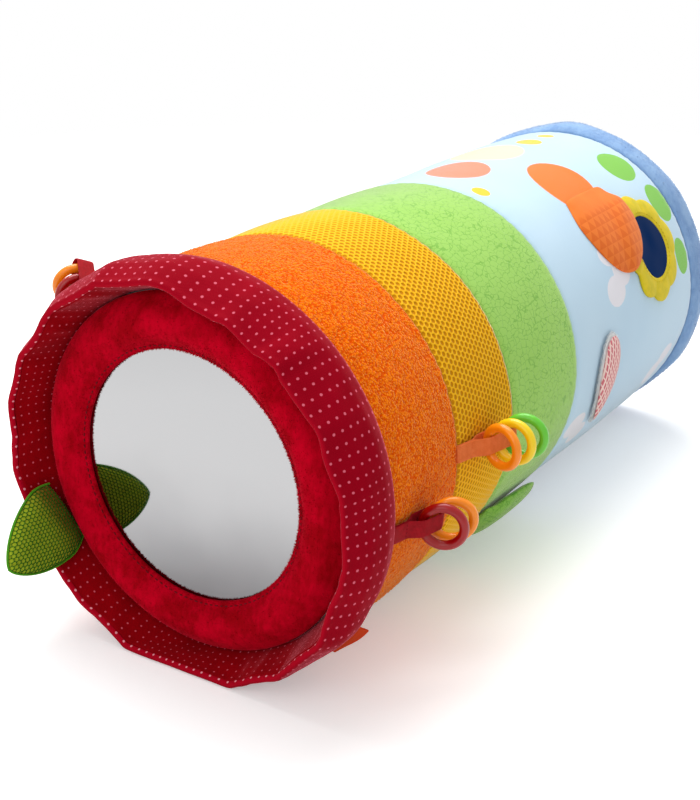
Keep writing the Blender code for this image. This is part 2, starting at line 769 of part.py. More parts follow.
class Strap:
    """A ribbon sewn into a seam by both ends, whose far part opens into an eye for the rings."""

    def __init__(self, seam, angle, lean, length, twist=0.0):
        self.angle = angle
        self.length = length
        self.twist = twist
        base_radius = max(skin_radius(seam), body_radius)
        self.root = on_roll(seam, angle, base_radius + ribbon_thickness + strap_end_clearance)
        self.along = outward(angle) * math.sin(lean) + Vector((0, math.cos(lean), 0))
        self.up = outward(angle) * math.cos(lean) - Vector((0, math.sin(lean), 0))
        self.across = around(angle)
        self.sagitta = ring_radius - math.sqrt(ring_radius ** 2 - (ribbon_width / 2) ** 2)
        self.above = ring_tube + self.sagitta + rim_clearance
        self.below = ring_tube + rim_clearance
        self.bend = (self.above + self.below) / 2
        self.straight = length - self.bend - ribbon_thickness
        self.last_rim = self.straight - self.sagitta

    def frame_at(self, along):
        """The ribbon's width and thickness directions, which a twist turns along its length."""
        turn = self.twist * smooth_step(along / (self.length / 2))
        across = self.across * math.cos(turn) + self.up * math.sin(turn)
        up = self.up * math.cos(turn) - self.across * math.sin(turn)
        return across, up

    def place(self, along, height, across=0.0):
        width_way, up_way = self.frame_at(along)
        return self.root + self.along * along + up_way * height + width_way * across

    def eye(self, steps=6):
        """The eye's inner edge and its outer edge, from the fork over the top and back."""
        straight = self.straight
        fork = self.first_rim - ring_tube - rim_clearance - eye_slope_length
        inner, outer = [], []
        for step in range(steps + 1):
            rise = smooth_step(step / steps)
            along = fork + eye_slope_length * step / steps
            inner.append((along, self.above * rise))
            outer.append((along, self.above * rise + ribbon_thickness))
        middle = (self.above - self.below) / 2
        for step in range(steps + 1):
            turn = math.pi / 2 - math.pi * step / steps
            inner.append((straight + self.bend * math.cos(turn), middle + self.bend * math.sin(turn)))
            reach = self.bend + ribbon_thickness
            outer.append((straight + reach * math.cos(turn), middle + reach * math.sin(turn)))
        for step in range(steps, -1, -1):
            rise = smooth_step(step / steps)
            along = fork + eye_slope_length * step / steps
            inner.append((along, -self.below * rise))
            outer.append((along, -self.below * rise - ribbon_thickness))
        return fork, inner, outer

    def build(self, name, material, rims):
        self.first_rim = self.last_rim - (rims - 1) * rim_pitch
        fork, inner, outer = self.eye()
        inner = inner[:-1]
        tail_steps = 3
        tail = []
        for step in range(tail_steps):
            along = fork * step / tail_steps
            tail.append((along, ribbon_thickness))
            tail.append((along, -ribbon_thickness))
        sewn = -ribbon_thickness * sewn_end_share
        end = [(sewn, ribbon_thickness / 2), (sewn, -ribbon_thickness / 2)]
        flat = inner + outer + tail + end
        points = []
        for side in (-1, 1):
            for along, height in flat:
                points.append(self.place(along, height, side * ribbon_width / 2))
        half = len(flat)
        inner_count, outer_count = len(inner), len(outer)
        tail_start = inner_count + outer_count
        end_start = tail_start + len(tail)
        sides = []
        for step in range(outer_count - 1):
            a, b = step, (step + 1) % inner_count
            sides.append((a, b, inner_count + step + 1, inner_count + step))
        first_outer, last_outer = inner_count, inner_count + outer_count - 1
        top = [tail_start + 2 * step for step in range(tail_steps)]
        bottom = [tail_start + 2 * step + 1 for step in range(tail_steps)]
        for step in range(tail_steps - 1):
            sides.append((top[step], top[step + 1], bottom[step + 1], bottom[step]))
        sides.append((top[-1], first_outer, 0, last_outer, bottom[-1]))
        sides.append((end_start, top[0], bottom[0], end_start + 1))
        faces = [tuple(reversed(side)) for side in sides]
        faces += [tuple(index + half for index in side) for side in sides]
        rim = top + [inner_count + step for step in range(outer_count)]
        rim += bottom[::-1] + [end_start + 1, end_start]
        for step, index in enumerate(rim):
            after = rim[(step + 1) % len(rim)]
            faces.append((index, after, after + half, index + half))
        for step in range(inner_count):
            after = (step + 1) % inner_count
            faces.append((after, step, step + half, after + half))
        self.piece = add_piece(name, points, faces, material, self.root)
        return self

    def ring(self, name, material, place_number, swing):
        """A ring whose near side lies in the eye, swung up from the strap by an angle."""
        along = self.first_rim + place_number * rim_pitch
        pivot = self.place(along, 0)
        width_way, up_way = self.frame_at(along)
        reach = self.along * math.cos(swing) + up_way * math.sin(swing)
        normal = width_way.cross(reach)
        middle = pivot + reach * ring_radius
        points, faces = [], []
        for step in range(ring_facets):
            turn = math.tau * step / ring_facets
            out = width_way * math.sin(turn) - reach * math.cos(turn)
            for side in range(tube_facets):
                roll = math.tau * side / tube_facets
                spoke = out * (ring_radius + ring_tube * math.cos(roll))
                points.append(middle + spoke + normal * ring_tube * math.sin(roll))
                a = step * tube_facets + side
                b = step * tube_facets + (side + 1) % tube_facets
                c = ((step + 1) % ring_facets) * tube_facets + (side + 1) % tube_facets
                d = ((step + 1) % ring_facets) * tube_facets + side
                faces.append((a, b, c, d))
        return add_piece(name, points, faces, material, pivot, self.piece)


def make_straps():
    red_ribbon = look("red_ribbon", (0.45, 0.02, 0.05), 0.7)
    orange_ribbon = look("orange_ribbon", (0.80, 0.22, 0.06), 0.7)
    red = look("red_ring_plastic", (0.55, 0.01, 0.04), 0.3)
    orange = look("orange_ring_plastic", (0.90, 0.28, 0.01), 0.3)
    yellow = look("yellow_ring_plastic", (0.90, 0.60, 0.02), 0.3)
    green = look("green_ring_plastic", (0.12, 0.45, 0.04), 0.3)

    strap = Strap(cuff_strap_seam, red_strap_angle, red_strap_lean, red_strap_length)
    strap.build("red_strap", red_ribbon, 2)
    strap.ring("red_ring", red, 0, math.radians(58))
    strap.ring("red_strap_orange_ring", orange, 1, math.radians(44))

    strap = Strap(orange_seam, orange_strap_angle, orange_strap_lean, orange_strap_length)
    strap.build("orange_strap", orange_ribbon, 3)
    strap.ring("orange_ring", orange, 0, math.radians(92))
    strap.ring("yellow_ring", yellow, 1, math.radians(78))
    strap.ring("green_ring", green, 2, math.radians(64))

    strap = Strap(cuff_strap_seam, far_strap_angle, far_strap_lean, far_strap_length, far_strap_twist)
    strap.build("far_red_strap", red_ribbon, 2)
    strap.ring("far_red_ring", red, 0, math.radians(116))
    strap.ring("far_orange_ring", orange, 1, math.radians(102))


def main():
    clear_scene()
    make_filling_core()
    make_bands()
    make_rear_end()
    make_mirror()
    make_plush_ring()
    make_cuff()
    make_front_leaf()
    make_green_flap()
    make_side_mirror()
    make_peek_flap()
    make_wing()
    make_tag()
    make_straps()


main()
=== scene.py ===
import itertools
import math

import bmesh
import bpy
import numpy as np
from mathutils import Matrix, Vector
from mathutils.bvhtree import BVHTree


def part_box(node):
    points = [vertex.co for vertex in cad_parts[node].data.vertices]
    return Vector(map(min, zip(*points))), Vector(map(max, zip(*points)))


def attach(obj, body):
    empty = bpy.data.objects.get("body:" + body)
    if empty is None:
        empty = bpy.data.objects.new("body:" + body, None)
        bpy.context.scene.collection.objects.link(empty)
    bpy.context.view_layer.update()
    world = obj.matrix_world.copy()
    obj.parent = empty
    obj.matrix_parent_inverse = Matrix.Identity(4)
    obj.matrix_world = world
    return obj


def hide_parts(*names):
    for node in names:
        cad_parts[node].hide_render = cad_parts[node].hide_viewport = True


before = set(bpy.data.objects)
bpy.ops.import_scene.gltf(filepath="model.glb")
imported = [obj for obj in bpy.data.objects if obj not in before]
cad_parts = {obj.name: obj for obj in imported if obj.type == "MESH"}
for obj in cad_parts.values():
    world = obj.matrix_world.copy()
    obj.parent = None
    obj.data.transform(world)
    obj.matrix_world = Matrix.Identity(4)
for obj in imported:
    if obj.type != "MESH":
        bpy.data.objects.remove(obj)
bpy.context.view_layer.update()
mm = 0.001
print("frame loaded")

# camera and light, in the place that the photograph was taken from
view = {
    "place": (0.4177, -0.7086, 0.4043),
    "turn": math.radians(33.314),
    "pitch": math.radians(22.086),
    "lens": 62.5,
}
light = {
    "world": 0.57,
    "floorHalf": 12,
    "floorWhite": 0.88,
    "floorLift": 0.32,
    "floorFade": (0.55, 1.3),
    "keyPlace": (-0.5, 0.4, 1.7),
    "keySize": 1.5,
    "keyPower": 38,
    "fillPlace": (0.1, -1.6, 1.0),
    "fillSize": 1.2,
    "fillPower": 6.5,
}


def inScene(name, data):
    made = bpy.data.objects.new(name, data)
    bpy.context.scene.collection.objects.link(made)
    return made


def addNode(tree, kind, inputs=None, **settings):
    # a new node, each input linked to another node's output or set to a value
    made = tree.nodes.new(kind)
    for label, value in settings.items():
        setattr(made, label, value)
    for label, value in (inputs or {}).items():
        if isinstance(value, bpy.types.NodeSocket):
            tree.links.new(value, made.inputs[label])
        else:
            made.inputs[label].default_value = value
    return made


def aimed(name, data, place, target):
    made = inScene(name, data)
    made.location = place
    made.rotation_euler = (Vector(target) - Vector(place)).to_track_quat("-Z", "Y").to_euler()
    return made


def softLamp(name):
    lamp = bpy.data.lights.new(name, "AREA")
    lamp.size, lamp.energy = light[name + "Size"], light[name + "Power"]
    aimed(name, lamp, light[name + "Place"], (0, 0, roll["axisHeight"]))


def makeCamera():
    camera = bpy.data.cameras.new("camera")
    camera.lens = view["lens"]
    flat = math.cos(view["pitch"])
    along = Vector((-math.sin(view["turn"]) * flat, math.cos(view["turn"]) * flat,
                    -math.sin(view["pitch"])))
    place = Vector(view["place"])
    bpy.context.scene.camera = aimed("camera", camera, place, place + along)


def seenStraight(tree):
    # one where a camera, mirror or glass ray looks, and nought for the light itself
    path = addNode(tree, "ShaderNodeLightPath").outputs
    found = path["Is Camera Ray"]
    for label in ("Is Glossy Ray", "Is Transmission Ray"):
        found = addNode(tree, "ShaderNodeMath", {0: found, 1: path[label]},
                        operation="MAXIMUM").outputs[0]
    return found


def makeStage():
    world = bpy.data.worlds.new("pale room")
    world.use_nodes = True
    tree = world.node_tree
    room = tree.nodes["Background"]
    room.inputs["Strength"].default_value = light["world"]
    room.inputs["Color"].default_value = (1, 1, 1, 1)
    backdrop = addNode(tree, "ShaderNodeBackground", {"Color": (1, 1, 1, 1)})
    either = addNode(tree, "ShaderNodeMixShader",
                     {0: seenStraight(tree), 1: room.outputs[0], 2: backdrop.outputs[0]})
    tree.links.new(either.outputs[0], tree.nodes["World Output"].inputs["Surface"])
    bpy.context.scene.world = world

    mesh = bpy.data.meshes.new("floor")
    half = light["floorHalf"]
    mesh.from_pydata([(-half, -half, 0), (half, -half, 0), (half, half, 0), (-half, half, 0)], [],
                     [(0, 1, 2, 3)])
    floor = inScene("floor", mesh)
    paper = bpy.data.materials.new("pale floor")
    paper.use_nodes = True
    tree = paper.node_tree
    tree.nodes.remove(tree.nodes["Principled BSDF"])
    matt = addNode(tree, "ShaderNodeBsdfDiffuse", {"Color": (*[light["floorWhite"]] * 3, 1)})
    lift = addNode(tree, "ShaderNodeEmission",
                   {"Color": seenStraight(tree), "Strength": light["floorLift"]})
    both = addNode(tree, "ShaderNodeAddShader", {0: matt.outputs[0], 1: lift.outputs[0]})
    place = addNode(tree, "ShaderNodeTexCoord").outputs["Object"]
    far = addNode(tree, "ShaderNodeVectorMath", {0: place}, operation="LENGTH").outputs["Value"]
    start, end = light["floorFade"]
    fade = addNode(tree, "ShaderNodeMapRange", {"Value": far, "From Min": start, "From Max": end})
    clear = addNode(tree, "ShaderNodeBsdfTransparent")
    ends = addNode(tree, "ShaderNodeMixShader",
                   {0: fade.outputs["Result"], 1: both.outputs[0], 2: clear.outputs[0]})
    tree.links.new(ends.outputs[0], tree.nodes["Material Output"].inputs["Surface"])
    mesh.materials.append(paper)
    softLamp("key")
    softLamp("fill")


# the roll's own sizes, which every piece on it uses
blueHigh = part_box("blue_end_ring")[1]
roll = {
    "radius": 105 * mm,
    "axisHeight": blueHigh.z - blueHigh.x,
    "gap": 0.3 * mm,
    "innerRadius": 102.4 * mm,
    "innerFloor": 1.2 * mm,
    "crownPower": 0.8,
    "seamDip": 1.1 * mm,
    "seamRound": 1.7 * mm,
    "lumps": ((0.7 * mm, 52 * mm, 3), (0.175 * mm, 52 / 3 * mm, 4)),
    "pucker": 0.28 * mm,
    "puckerReach": 6 * mm,
    "puckers": 84,
    "puckerDrift": 2.5,
    "driftSize": 40 * mm,
    "unevenSize": 25 * mm,
}
down = -math.pi / 2
bandNodes = ("orange_band", "yellow_band", "green_band", "sky_band", "blue_end_ring")
seams = [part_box(node)[0].y - roll["gap"] / 2 for node in bandNodes]
cuffSeam, orangeSeam, yellowSeam, greenSeam, skySeam = seams
bulges = [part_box(node)[1].x - roll["radius"] for node in bandNodes]


def smoothStep(share):
    share = np.clip(share, 0, 1)
    return share * share * (3 - 2 * share)


noiseHash = {"axes": (73856093, 19349663, 83492791), "seed": 7919, "stir": (1274126177, 668265263)}


def softNoise(points, size, seed=0):
    # smooth random heights from -1 to 1, with lumps of that size, the same on every run
    place = np.asarray(points, float) / size
    cell = np.floor(place).astype(np.int64)
    share = smoothStep(place - cell)
    total = np.zeros(place.shape[:-1])
    (first, second, third), (stir, again) = noiseHash["axes"], noiseHash["stir"]
    for corner in itertools.product((0, 1), repeat=3):
        key = cell + np.array(corner)
        mixed = key[..., 0] * first ^ key[..., 1] * second ^ key[..., 2] * third
        mixed = (mixed + seed * noiseHash["seed"]) * stir
        mixed = (mixed ^ (mixed >> 15)) * again
        value = ((mixed ^ (mixed >> 13)) & 0xFFFF) / 0xFFFF * 2 - 1
        total += value * np.prod(np.where(np.array(corner, bool), share, 1 - share), axis=-1)
    return total


def lumpy(points, layers):
    # lumps over each other, each layer with its depth, size and seed
    return sum(depth * softNoise(points, size, seed) for depth, size, seed in layers)


def onRoll(y, angle, radius):
    y, angle, radius = np.broadcast_arrays(np.asarray(y, float), angle, radius)
    across, up = radius * np.cos(angle), roll["axisHeight"] + radius * np.sin(angle)
    return np.stack([across, y, up], -1)


def skinRadius(y, angle):
    # the stuffed skin: crowned between its seams, drawn in and puckered at them, a little lumpy
    y, angle = np.broadcast_arrays(np.asarray(y, float), np.asarray(angle, float))
    radius = np.full(y.shape, roll["radius"])
    for start, end, bulge in zip(seams, seams[1:] + [blueHigh.y], bulges):
        crown = bulge * np.sin(np.pi * np.clip((y - start) / (end - start), 0, 1)) ** roll["crownPower"]
        radius = np.where((y >= start) & (y <= end), radius + crown, radius)
    flat = onRoll(y, angle, roll["radius"])
    radius = radius + lumpy(flat, roll["lumps"])
    for number, seam in enumerate(seams):
        away = np.abs(y - seam)
        radius = radius - roll["seamDip"] * np.exp(-(away / roll["seamRound"]) ** 1.5)
        drift = roll["puckerDrift"] * softNoise(flat, roll["driftSize"], 20 + number)
        uneven = 0.6 + 0.4 * softNoise(flat, roll["unevenSize"], 30)
        wave = np.sin(roll["puckers"] * angle + drift) * uneven
        radius = radius + roll["pucker"] * wave * np.exp(-away / roll["puckerReach"])
    return radius


def settled(points, lowest=0.0, softness=0.8 * mm):
    # lies down on the floor instead of going through it
    made = np.array(points, float)
    over = made[..., 2] - lowest
    made[..., 2] = lowest + (over + np.sqrt(over * over + softness * softness)) / 2
    return made


def around(columns):
    return down + math.tau * np.arange(columns) / columns


def crossed(rows, columns):
    return np.meshgrid(rows, columns, indexing="ij")


def spansOf(path):
    # how far along a path each of its points lies
    return np.concatenate([[0], np.cumsum(np.linalg.norm(np.diff(path, axis=0), axis=1))])


def readAlong(at, along, values):
    return np.stack([np.interp(at, along, column) for column in np.transpose(values)], -1)


def unit(vectors):
    return vectors / np.maximum(np.linalg.norm(vectors, axis=-1, keepdims=True), 1e-9)


def outAndBack(count):
    # shares from nought to one and back, and which of the two sides each is on
    share = np.linspace(0, 1, count)
    return np.concatenate([share, share[-2::-1]]), np.repeat([1.0, -1.0], [count, count - 1])


def clothOf(across, along):
    # cloth coordinates of a grid, from those of its columns and of its rows
    shape = (len(along), len(across))
    return np.broadcast_to(across, shape), np.broadcast_to(along[:, None], shape)


def roundCloth(angle, radius):
    return (np.append(angle, angle[0] + math.tau) - down) * radius


def closedCloth(*sides):
    # repeats the first column after the last, where the cloth meets itself
    return tuple(np.append(side, side[:, :1], 1) for side in sides)


def pointsOf(mesh):
    flat = np.zeros(len(mesh.vertices) * 3)
    mesh.vertices.foreach_get("co", flat)
    return flat.reshape(-1, 3)


def setPoints(mesh, points):
    mesh.vertices.foreach_set("co", points.ravel())
    mesh.update()


def setRelief(mesh, height):
    mesh.attributes.new("relief", "FLOAT", "POINT").data.foreach_set(
        "value", height.ravel().astype(np.float32))


def newPiece(name, mesh, material=None):
    piece = inScene(name, mesh)
    if material is not None:
        mesh.materials.clear()
        mesh.materials.append(material)
    mesh.shade_smooth()
    return piece


def reshaped(mesh, change):
    # lets a function change a mesh, then turns every face outwards
    shape = bmesh.new()
    shape.from_mesh(mesh)
    change(shape)
    bmesh.ops.recalc_face_normals(shape, faces=shape.faces)
    shape.to_mesh(mesh)
    shape.free()


def openEdges(shape):
    return [edge for edge in shape.edges if edge.is_boundary]


def weld(mesh, distance=0.002 * mm):
    def change(shape):
        bmesh.ops.remove_doubles(shape, verts=shape.verts, dist=distance)
        bmesh.ops.dissolve_degenerate(shape, edges=shape.edges, dist=distance)

    reshaped(mesh, change)


def gridPiece(name, points, material, closeRows=False, closeColumns=False, uv=None,
              relief=None, fillEnds=False, edgeAngle=None):
    # a grid of rows and columns of points, closed either way or both, with its cloth laid out in mm
    rows, columns = points.shape[:2]
    r, c = (part.ravel() for part in crossed(np.arange(rows if closeRows else rows - 1),
                                             np.arange(columns if closeColumns else columns - 1)))
    corners = [(r + lower, c + right) for lower, right in ((0, 0), (0, 1), (1, 1), (1, 0))]
    faces = np.stack([row % rows * columns + column % columns for row, column in corners], 1).tolist()
    if fillEnds:
        faces += [list(range(columns)), list(range((rows - 1) * columns, rows * columns))]
    mesh = bpy.data.meshes.new(name)
    mesh.from_pydata(points.reshape(-1, 3).tolist(), [], faces)
    if uv is not None:
        laid = np.zeros((len(mesh.loops), 2))
        for number, corner in enumerate(corners):
            for axis in range(2):
                laid[number:4 * len(r):4, axis] = uv[axis][corner] / mm
        mesh.uv_layers.new(name="cloth").data.foreach_set("uv", laid.ravel())
    if relief is not None:
        setRelief(mesh, relief)
    weld(mesh)
    piece = newPiece(name, mesh, material)
    if edgeAngle is not None:
        mesh.set_sharp_from_angle(angle=edgeAngle)
    return piece


def rest(piece, body, slot, nodes=()):
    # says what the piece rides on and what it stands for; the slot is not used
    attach(piece, body)
    if nodes:
        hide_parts(*nodes)
    return piece


# geometry nodes: one small element laid at each point of a mesh, turned as the point says
def buildRepeatTree():
    tree = bpy.data.node_groups.new("repeated element", "GeometryNodeTree")
    for label, kind in (("Geometry", "Geometry"), ("Element", "Object"), ("Size", "Vector"),
                        ("Spread", "Float"), ("Tilt", "Float"), ("Seed", "Int"),
                        ("Material", "Material")):
        tree.interface.new_socket(label, in_out="INPUT", socket_type="NodeSocket" + kind)
    tree.interface.new_socket("Geometry", in_out="OUTPUT", socket_type="NodeSocketGeometry")
    given = tree.nodes.new("NodeGroupInput").outputs

    def new(kind, inputs, output=0, **settings):
        return addNode(tree, kind, inputs, **settings).outputs[output]

    turn = new("GeometryNodeInputNamedAttribute", {"Name": "turn"}, "Attribute",
               data_type="FLOAT_VECTOR")
    turned = new("FunctionNodeEulerToRotation", {0: turn})
    against = new("ShaderNodeMath", {0: given["Tilt"], 1: -1}, operation="MULTIPLY")
    lean = new("FunctionNodeRandomValue", {0: against, 1: given["Tilt"], "Seed": given["Seed"]},
               data_type="FLOAT_VECTOR")
    leaned = new("FunctionNodeEulerToRotation", {0: lean})
    both = new("FunctionNodeRotateRotation", {0: turned, 1: leaned}, rotation_space="LOCAL")
    less = new("ShaderNodeMath", {0: 1, 1: given["Spread"]}, operation="SUBTRACT")
    more = new("ShaderNodeMath", {0: 1, 1: given["Spread"]}, operation="ADD")
    growth = new("FunctionNodeRandomValue", {2: less, 3: more, "Seed": given["Seed"]}, 1,
                 data_type="FLOAT")
    scaled = new("ShaderNodeVectorMath", {0: given["Size"], "Scale": growth}, operation="SCALE")
    shape = new("GeometryNodeObjectInfo", {"Object": given["Element"]}, "Geometry")
    laid = new("GeometryNodeInstanceOnPoints", {"Points": given["Geometry"], "Instance": shape,
                                                "Rotation": both, "Scale": scaled})
    real = new("GeometryNodeRealizeInstances", {0: laid})
    painted = new("GeometryNodeSetMaterial", {"Geometry": real, "Material": given["Material"]})
    addNode(tree, "NodeGroupOutput", {0: painted})
    return tree


repeatTree = buildRepeatTree()


def turnsFor(upward, forward):
    # Euler angles that set an element's z along upward and its x near forward
    up = upward / np.linalg.norm(upward, axis=-1, keepdims=True)
    side = unit(np.cross(up, forward))
    front = np.cross(side, up)
    return np.stack([np.arctan2(side[:, 2], up[:, 2]), -np.arcsin(np.clip(front[:, 2], -1, 1)),
                     np.arctan2(front[:, 1], front[:, 0])], -1)


def evaluated(piece):
    bpy.context.view_layer.update()
    graph = bpy.context.evaluated_depsgraph_get()
    return bpy.data.meshes.new_from_object(piece.evaluated_get(graph))


def repeated(name, element, points, material, size, turns=None, spread=0.0, tilt=0.0, seed=1):
    mesh = bpy.data.meshes.new(name)
    mesh.from_pydata(np.asarray(points).reshape(-1, 3).tolist(), [], [])
    turns = np.zeros((len(mesh.vertices), 3)) if turns is None else turns
    mesh.attributes.new("turn", "FLOAT_VECTOR", "POINT").data.foreach_set(
        "vector", np.asarray(turns, np.float32).ravel())
    holder = inScene(name, mesh)
    modifier = holder.modifiers.new("repeated", "NODES")
    modifier.node_group = repeatTree
    settings = {"Element": element, "Size": size, "Spread": spread, "Tilt": tilt, "Seed": seed,
                "Material": material}
    for item in repeatTree.interface.items_tree:
        if item.in_out == "INPUT" and item.name in settings:
            modifier[item.identifier] = settings[item.name]
    made = evaluated(holder)
    bpy.data.objects.remove(holder)
    made.name = name
    if "turn" in made.attributes:
        made.attributes.remove(made.attributes["turn"])
    return made


def element(name, points, faces):
    mesh = bpy.data.meshes.new(name)
    mesh.from_pydata(points, [], faces)
    mesh.shade_smooth()
    return inScene(name, mesh)


def strandElement():
    # one bent fibre of pile, three-sided and closed
    base = [(math.cos(turn), math.sin(turn), 0) for turn in (0, math.tau / 3, 2 * math.tau / 3)]
    return element("strand", base + [(0.9, 0, 1)], [(0, 2, 1), (0, 1, 3), (1, 2, 3), (2, 0, 3)])


def stitchElement():
    # a short thread that goes down at both ends
    rows, sides = ((-1, 0.3), (-0.6, 0.85), (0, 1), (0.6, 0.85), (1, 0.3)), 6
    points, faces = [], []
    for place, thick in rows:
        for side in range(sides):
            turn = math.tau * side / sides
            points.append((place, thick * math.cos(turn), thick * math.sin(turn) - place * place))
    for row in range(len(rows) - 1):
        for side in range(sides):
            a, b = row * sides + side, row * sides + (side + 1) % sides
            faces.append((a, b, b + sides, a + sides))
    faces += [tuple(range(sides))[::-1], tuple(range(len(points) - sides, len(points)))]
    return element("stitch", points, faces)


def netElement(name, openShare, floored):
    # one cell of a net: a ridge at its edge round a hole with a floor, or a closed ring
    points, faces = [], []
    steps, twelfth = 12, math.tau / 12
    rings = [(1, 1.0), (openShare, 0.0)] + ([] if floored else [(1, -0.4)])
    for share, height in rings:
        for turn in (twelfth * (step + 1) for step in range(steps)):
            out = share / math.cos(twelfth) / 2
            if share == 1:
                out = 0.5 / math.cos((turn + twelfth) % (2 * twelfth) - twelfth)
            points.append((out * math.cos(turn), out * math.sin(turn), height))
    for ring in range(1 if floored else 3):
        first, second = ring * steps, (ring + 1) % len(rings) * steps
        for step in range(steps):
            beside = (step + 1) % steps
            faces.append((first + step, second + step, second + beside, first + beside))
    if floored:
        faces.append(tuple(range(steps, 2 * steps)))
    return element(name, points, faces)


strand = strandElement()
stitch = stitchElement()


def stitchLine(name, path, outward, material, length, thickness, pitch, closed=True):
    # stitches of one length at an even pitch along a path that lies on a surface
    if closed:
        path, outward = np.vstack([path, path[:1]]), np.vstack([outward, outward[:1]])
    along = spansOf(path)
    count = max(2, int(along[-1] / pitch))
    at = (np.arange(count) + 0.5) * along[-1] / count
    points = readAlong(at, along, path)
    turns = turnsFor(readAlong(at, along, outward), readAlong(at + pitch / 4, along, path) - points)
    return repeated(name, stitch, points, material, (length / 2, thickness / 2, thickness / 2), turns)


def paint(code):
    parts = [int(code[start:start + 2], 16) / 255 for start in (1, 3, 5)]
    return (*[part / 12.92 if part <= 0.04045 else ((part + 0.055) / 1.055) ** 2.4
              for part in parts], 1)


class Finish:
    # a procedural material, with short calls for the nodes that it is made of, and its sizes in mm
    def __init__(self, name, sockets):
        self.material = bpy.data.materials.new(name)
        self.material.use_nodes = True
        self.tree = self.material.node_tree
        self.shader = self.tree.nodes["Principled BSDF"]
        for label, value in sockets.items():
            self.shader.inputs[label].default_value = value
        self.place = self.scaled(self.add("TexCoord").outputs["Object"], (1 / mm,) * 3)
        self.cloth = self.add("UVMap", uv_map="cloth").outputs["UV"]

    def add(self, kind, inputs=None, **settings):
        return addNode(self.tree, "ShaderNode" + kind, inputs, **settings)

    def math(self, operation, *values):
        return self.add("Math", dict(enumerate(values)), operation=operation).outputs[0]

    def times(self, first, second):
        return self.math("MULTIPLY", first, second)

    def plus(self, first, second):
        return self.math("ADD", first, second)

    def less(self, first, second):
        return self.math("SUBTRACT", first, second)

    def scaled(self, vector, sizes):
        return self.add("VectorMath", {0: vector, 1: sizes}, operation="MULTIPLY").outputs[0]

    def moved(self, vector, offset):
        return self.add("VectorMath", {0: vector, 1: offset}, operation="ADD").outputs[0]

    def mix(self, share, *colours):
        # each colour is a code or another node's output
        first, second = (paint(each) if isinstance(each, str) else each for each in colours)
        return self.add("Mix", {0: share, 6: first, 7: second}, data_type="RGBA").outputs[2]

    def span(self, value, low, high, first=0.0, last=1.0):
        made = self.add("MapRange", {"Value": value, "From Min": low, "From Max": high,
                                     "To Min": first, "To Max": last},
                        interpolation_type="SMOOTHSTEP")
        return made.outputs["Result"]

    def sized(self, vector, size, stretch):
        return self.scaled(self.place if vector is None else vector,
                           tuple(part / size for part in stretch))

    def noise(self, size, vector=None, detail=2.0, stretch=(1, 1, 1), output="Fac"):
        made = self.add("TexNoise", {"Vector": self.sized(vector, size, stretch), "Scale": 1.0,
                                     "Detail": detail})
        return made.outputs[output]

    def cells(self, size, vector=None, feature="DISTANCE_TO_EDGE", stretch=(1, 1, 1), random=1.0):
        made = self.add("TexVoronoi", {"Vector": self.sized(vector, size, stretch), "Scale": 1.0,
                                       "Randomness": random}, feature=feature)
        return made.outputs["Distance"]

    def parts(self, vector):
        made = self.add("SeparateXYZ", {"Vector": vector})
        return made.outputs["X"], made.outputs["Y"]

    def wave(self, value, pitch):
        return self.math("SINE", self.times(value, math.tau / pitch))

    def fromMiddle(self, value, pitch):
        # how far a value is from the middle of its step, where a whole step is one
        share = self.math("FRACT", self.math("DIVIDE", value, pitch))
        return self.math("ABSOLUTE", self.less(share, 0.5))

    def weave(self, thread):
        # plain weave of threads of that width, as a height
        return self.times(*(self.wave(way, 2 * thread) for way in self.parts(self.cloth)))

    def woven(self, thread, grain, rough, vector=None):
        # plain weave with some roughness of its own over it
        return self.plus(self.weave(thread), self.times(self.noise(grain, vector), rough))

    def done(self, colour, height=None, depth=0.0, strength=1.0):
        # takes its colour and its bumps, and is handed over
        self.tree.links.new(colour, self.shader.inputs["Base Color"])
        if height is not None:
            bump = self.add("Bump", {"Height": height, "Distance": depth * mm, "Strength": strength})
            self.tree.links.new(bump.outputs["Normal"], self.shader.inputs["Normal"])
        return self.material


def clothSockets(roughness, sheen, tint, sheenRoughness=0.45, specular=0.2):
    return {"Roughness": roughness, "Sheen Weight": sheen, "Sheen Tint": paint(tint),
            "Sheen Roughness": sheenRoughness, "Specular IOR Level": specular}


def terryFinish(name, loops):
    # towelling: bright loop tops, with painted shade in deeper orange between them
    made = Finish(name, clothSockets(0.95, 0.95, "#FFE4A8", 0.25, 0.02))
    streak = made.noise(9, detail=3, stretch=(1, 0.45, 1))
    tops = made.mix(streak, "#FF7C06", "#FF9214")
    if loops:
        return made.done(tops)
    grain = made.plus(made.cells(1.15, feature="SMOOTH_F1"), made.times(made.noise(0.7), 0.6))
    # low places between the loops take the deeper orange: painted shade in the hollows
    height = made.span(grain, 0.45, 0.95, 1.0, 0.0)
    return made.done(made.mix(height, made.mix(streak, "#D84400", "#E85600"), tops), height, 0.45, 0.7)


def meshFinish():
    # yellow net, with painted shade in a deeper ochre in its holes
    made = Finish("yellow mesh", clothSockets(0.8, 1.0, "#FFFCE4", 0.28, 0.08))
    height = made.add("Attribute", attribute_name="relief").outputs["Fac"]
    ridge = made.mix(made.noise(9), "#FFBC14", "#FFC828")
    # low places in the holes take the deeper ochre: painted shade
    return made.done(made.mix(made.span(height, 0.02, 0.5), "#CC8604", ridge), made.noise(0.45),
                     0.15, 0.5)


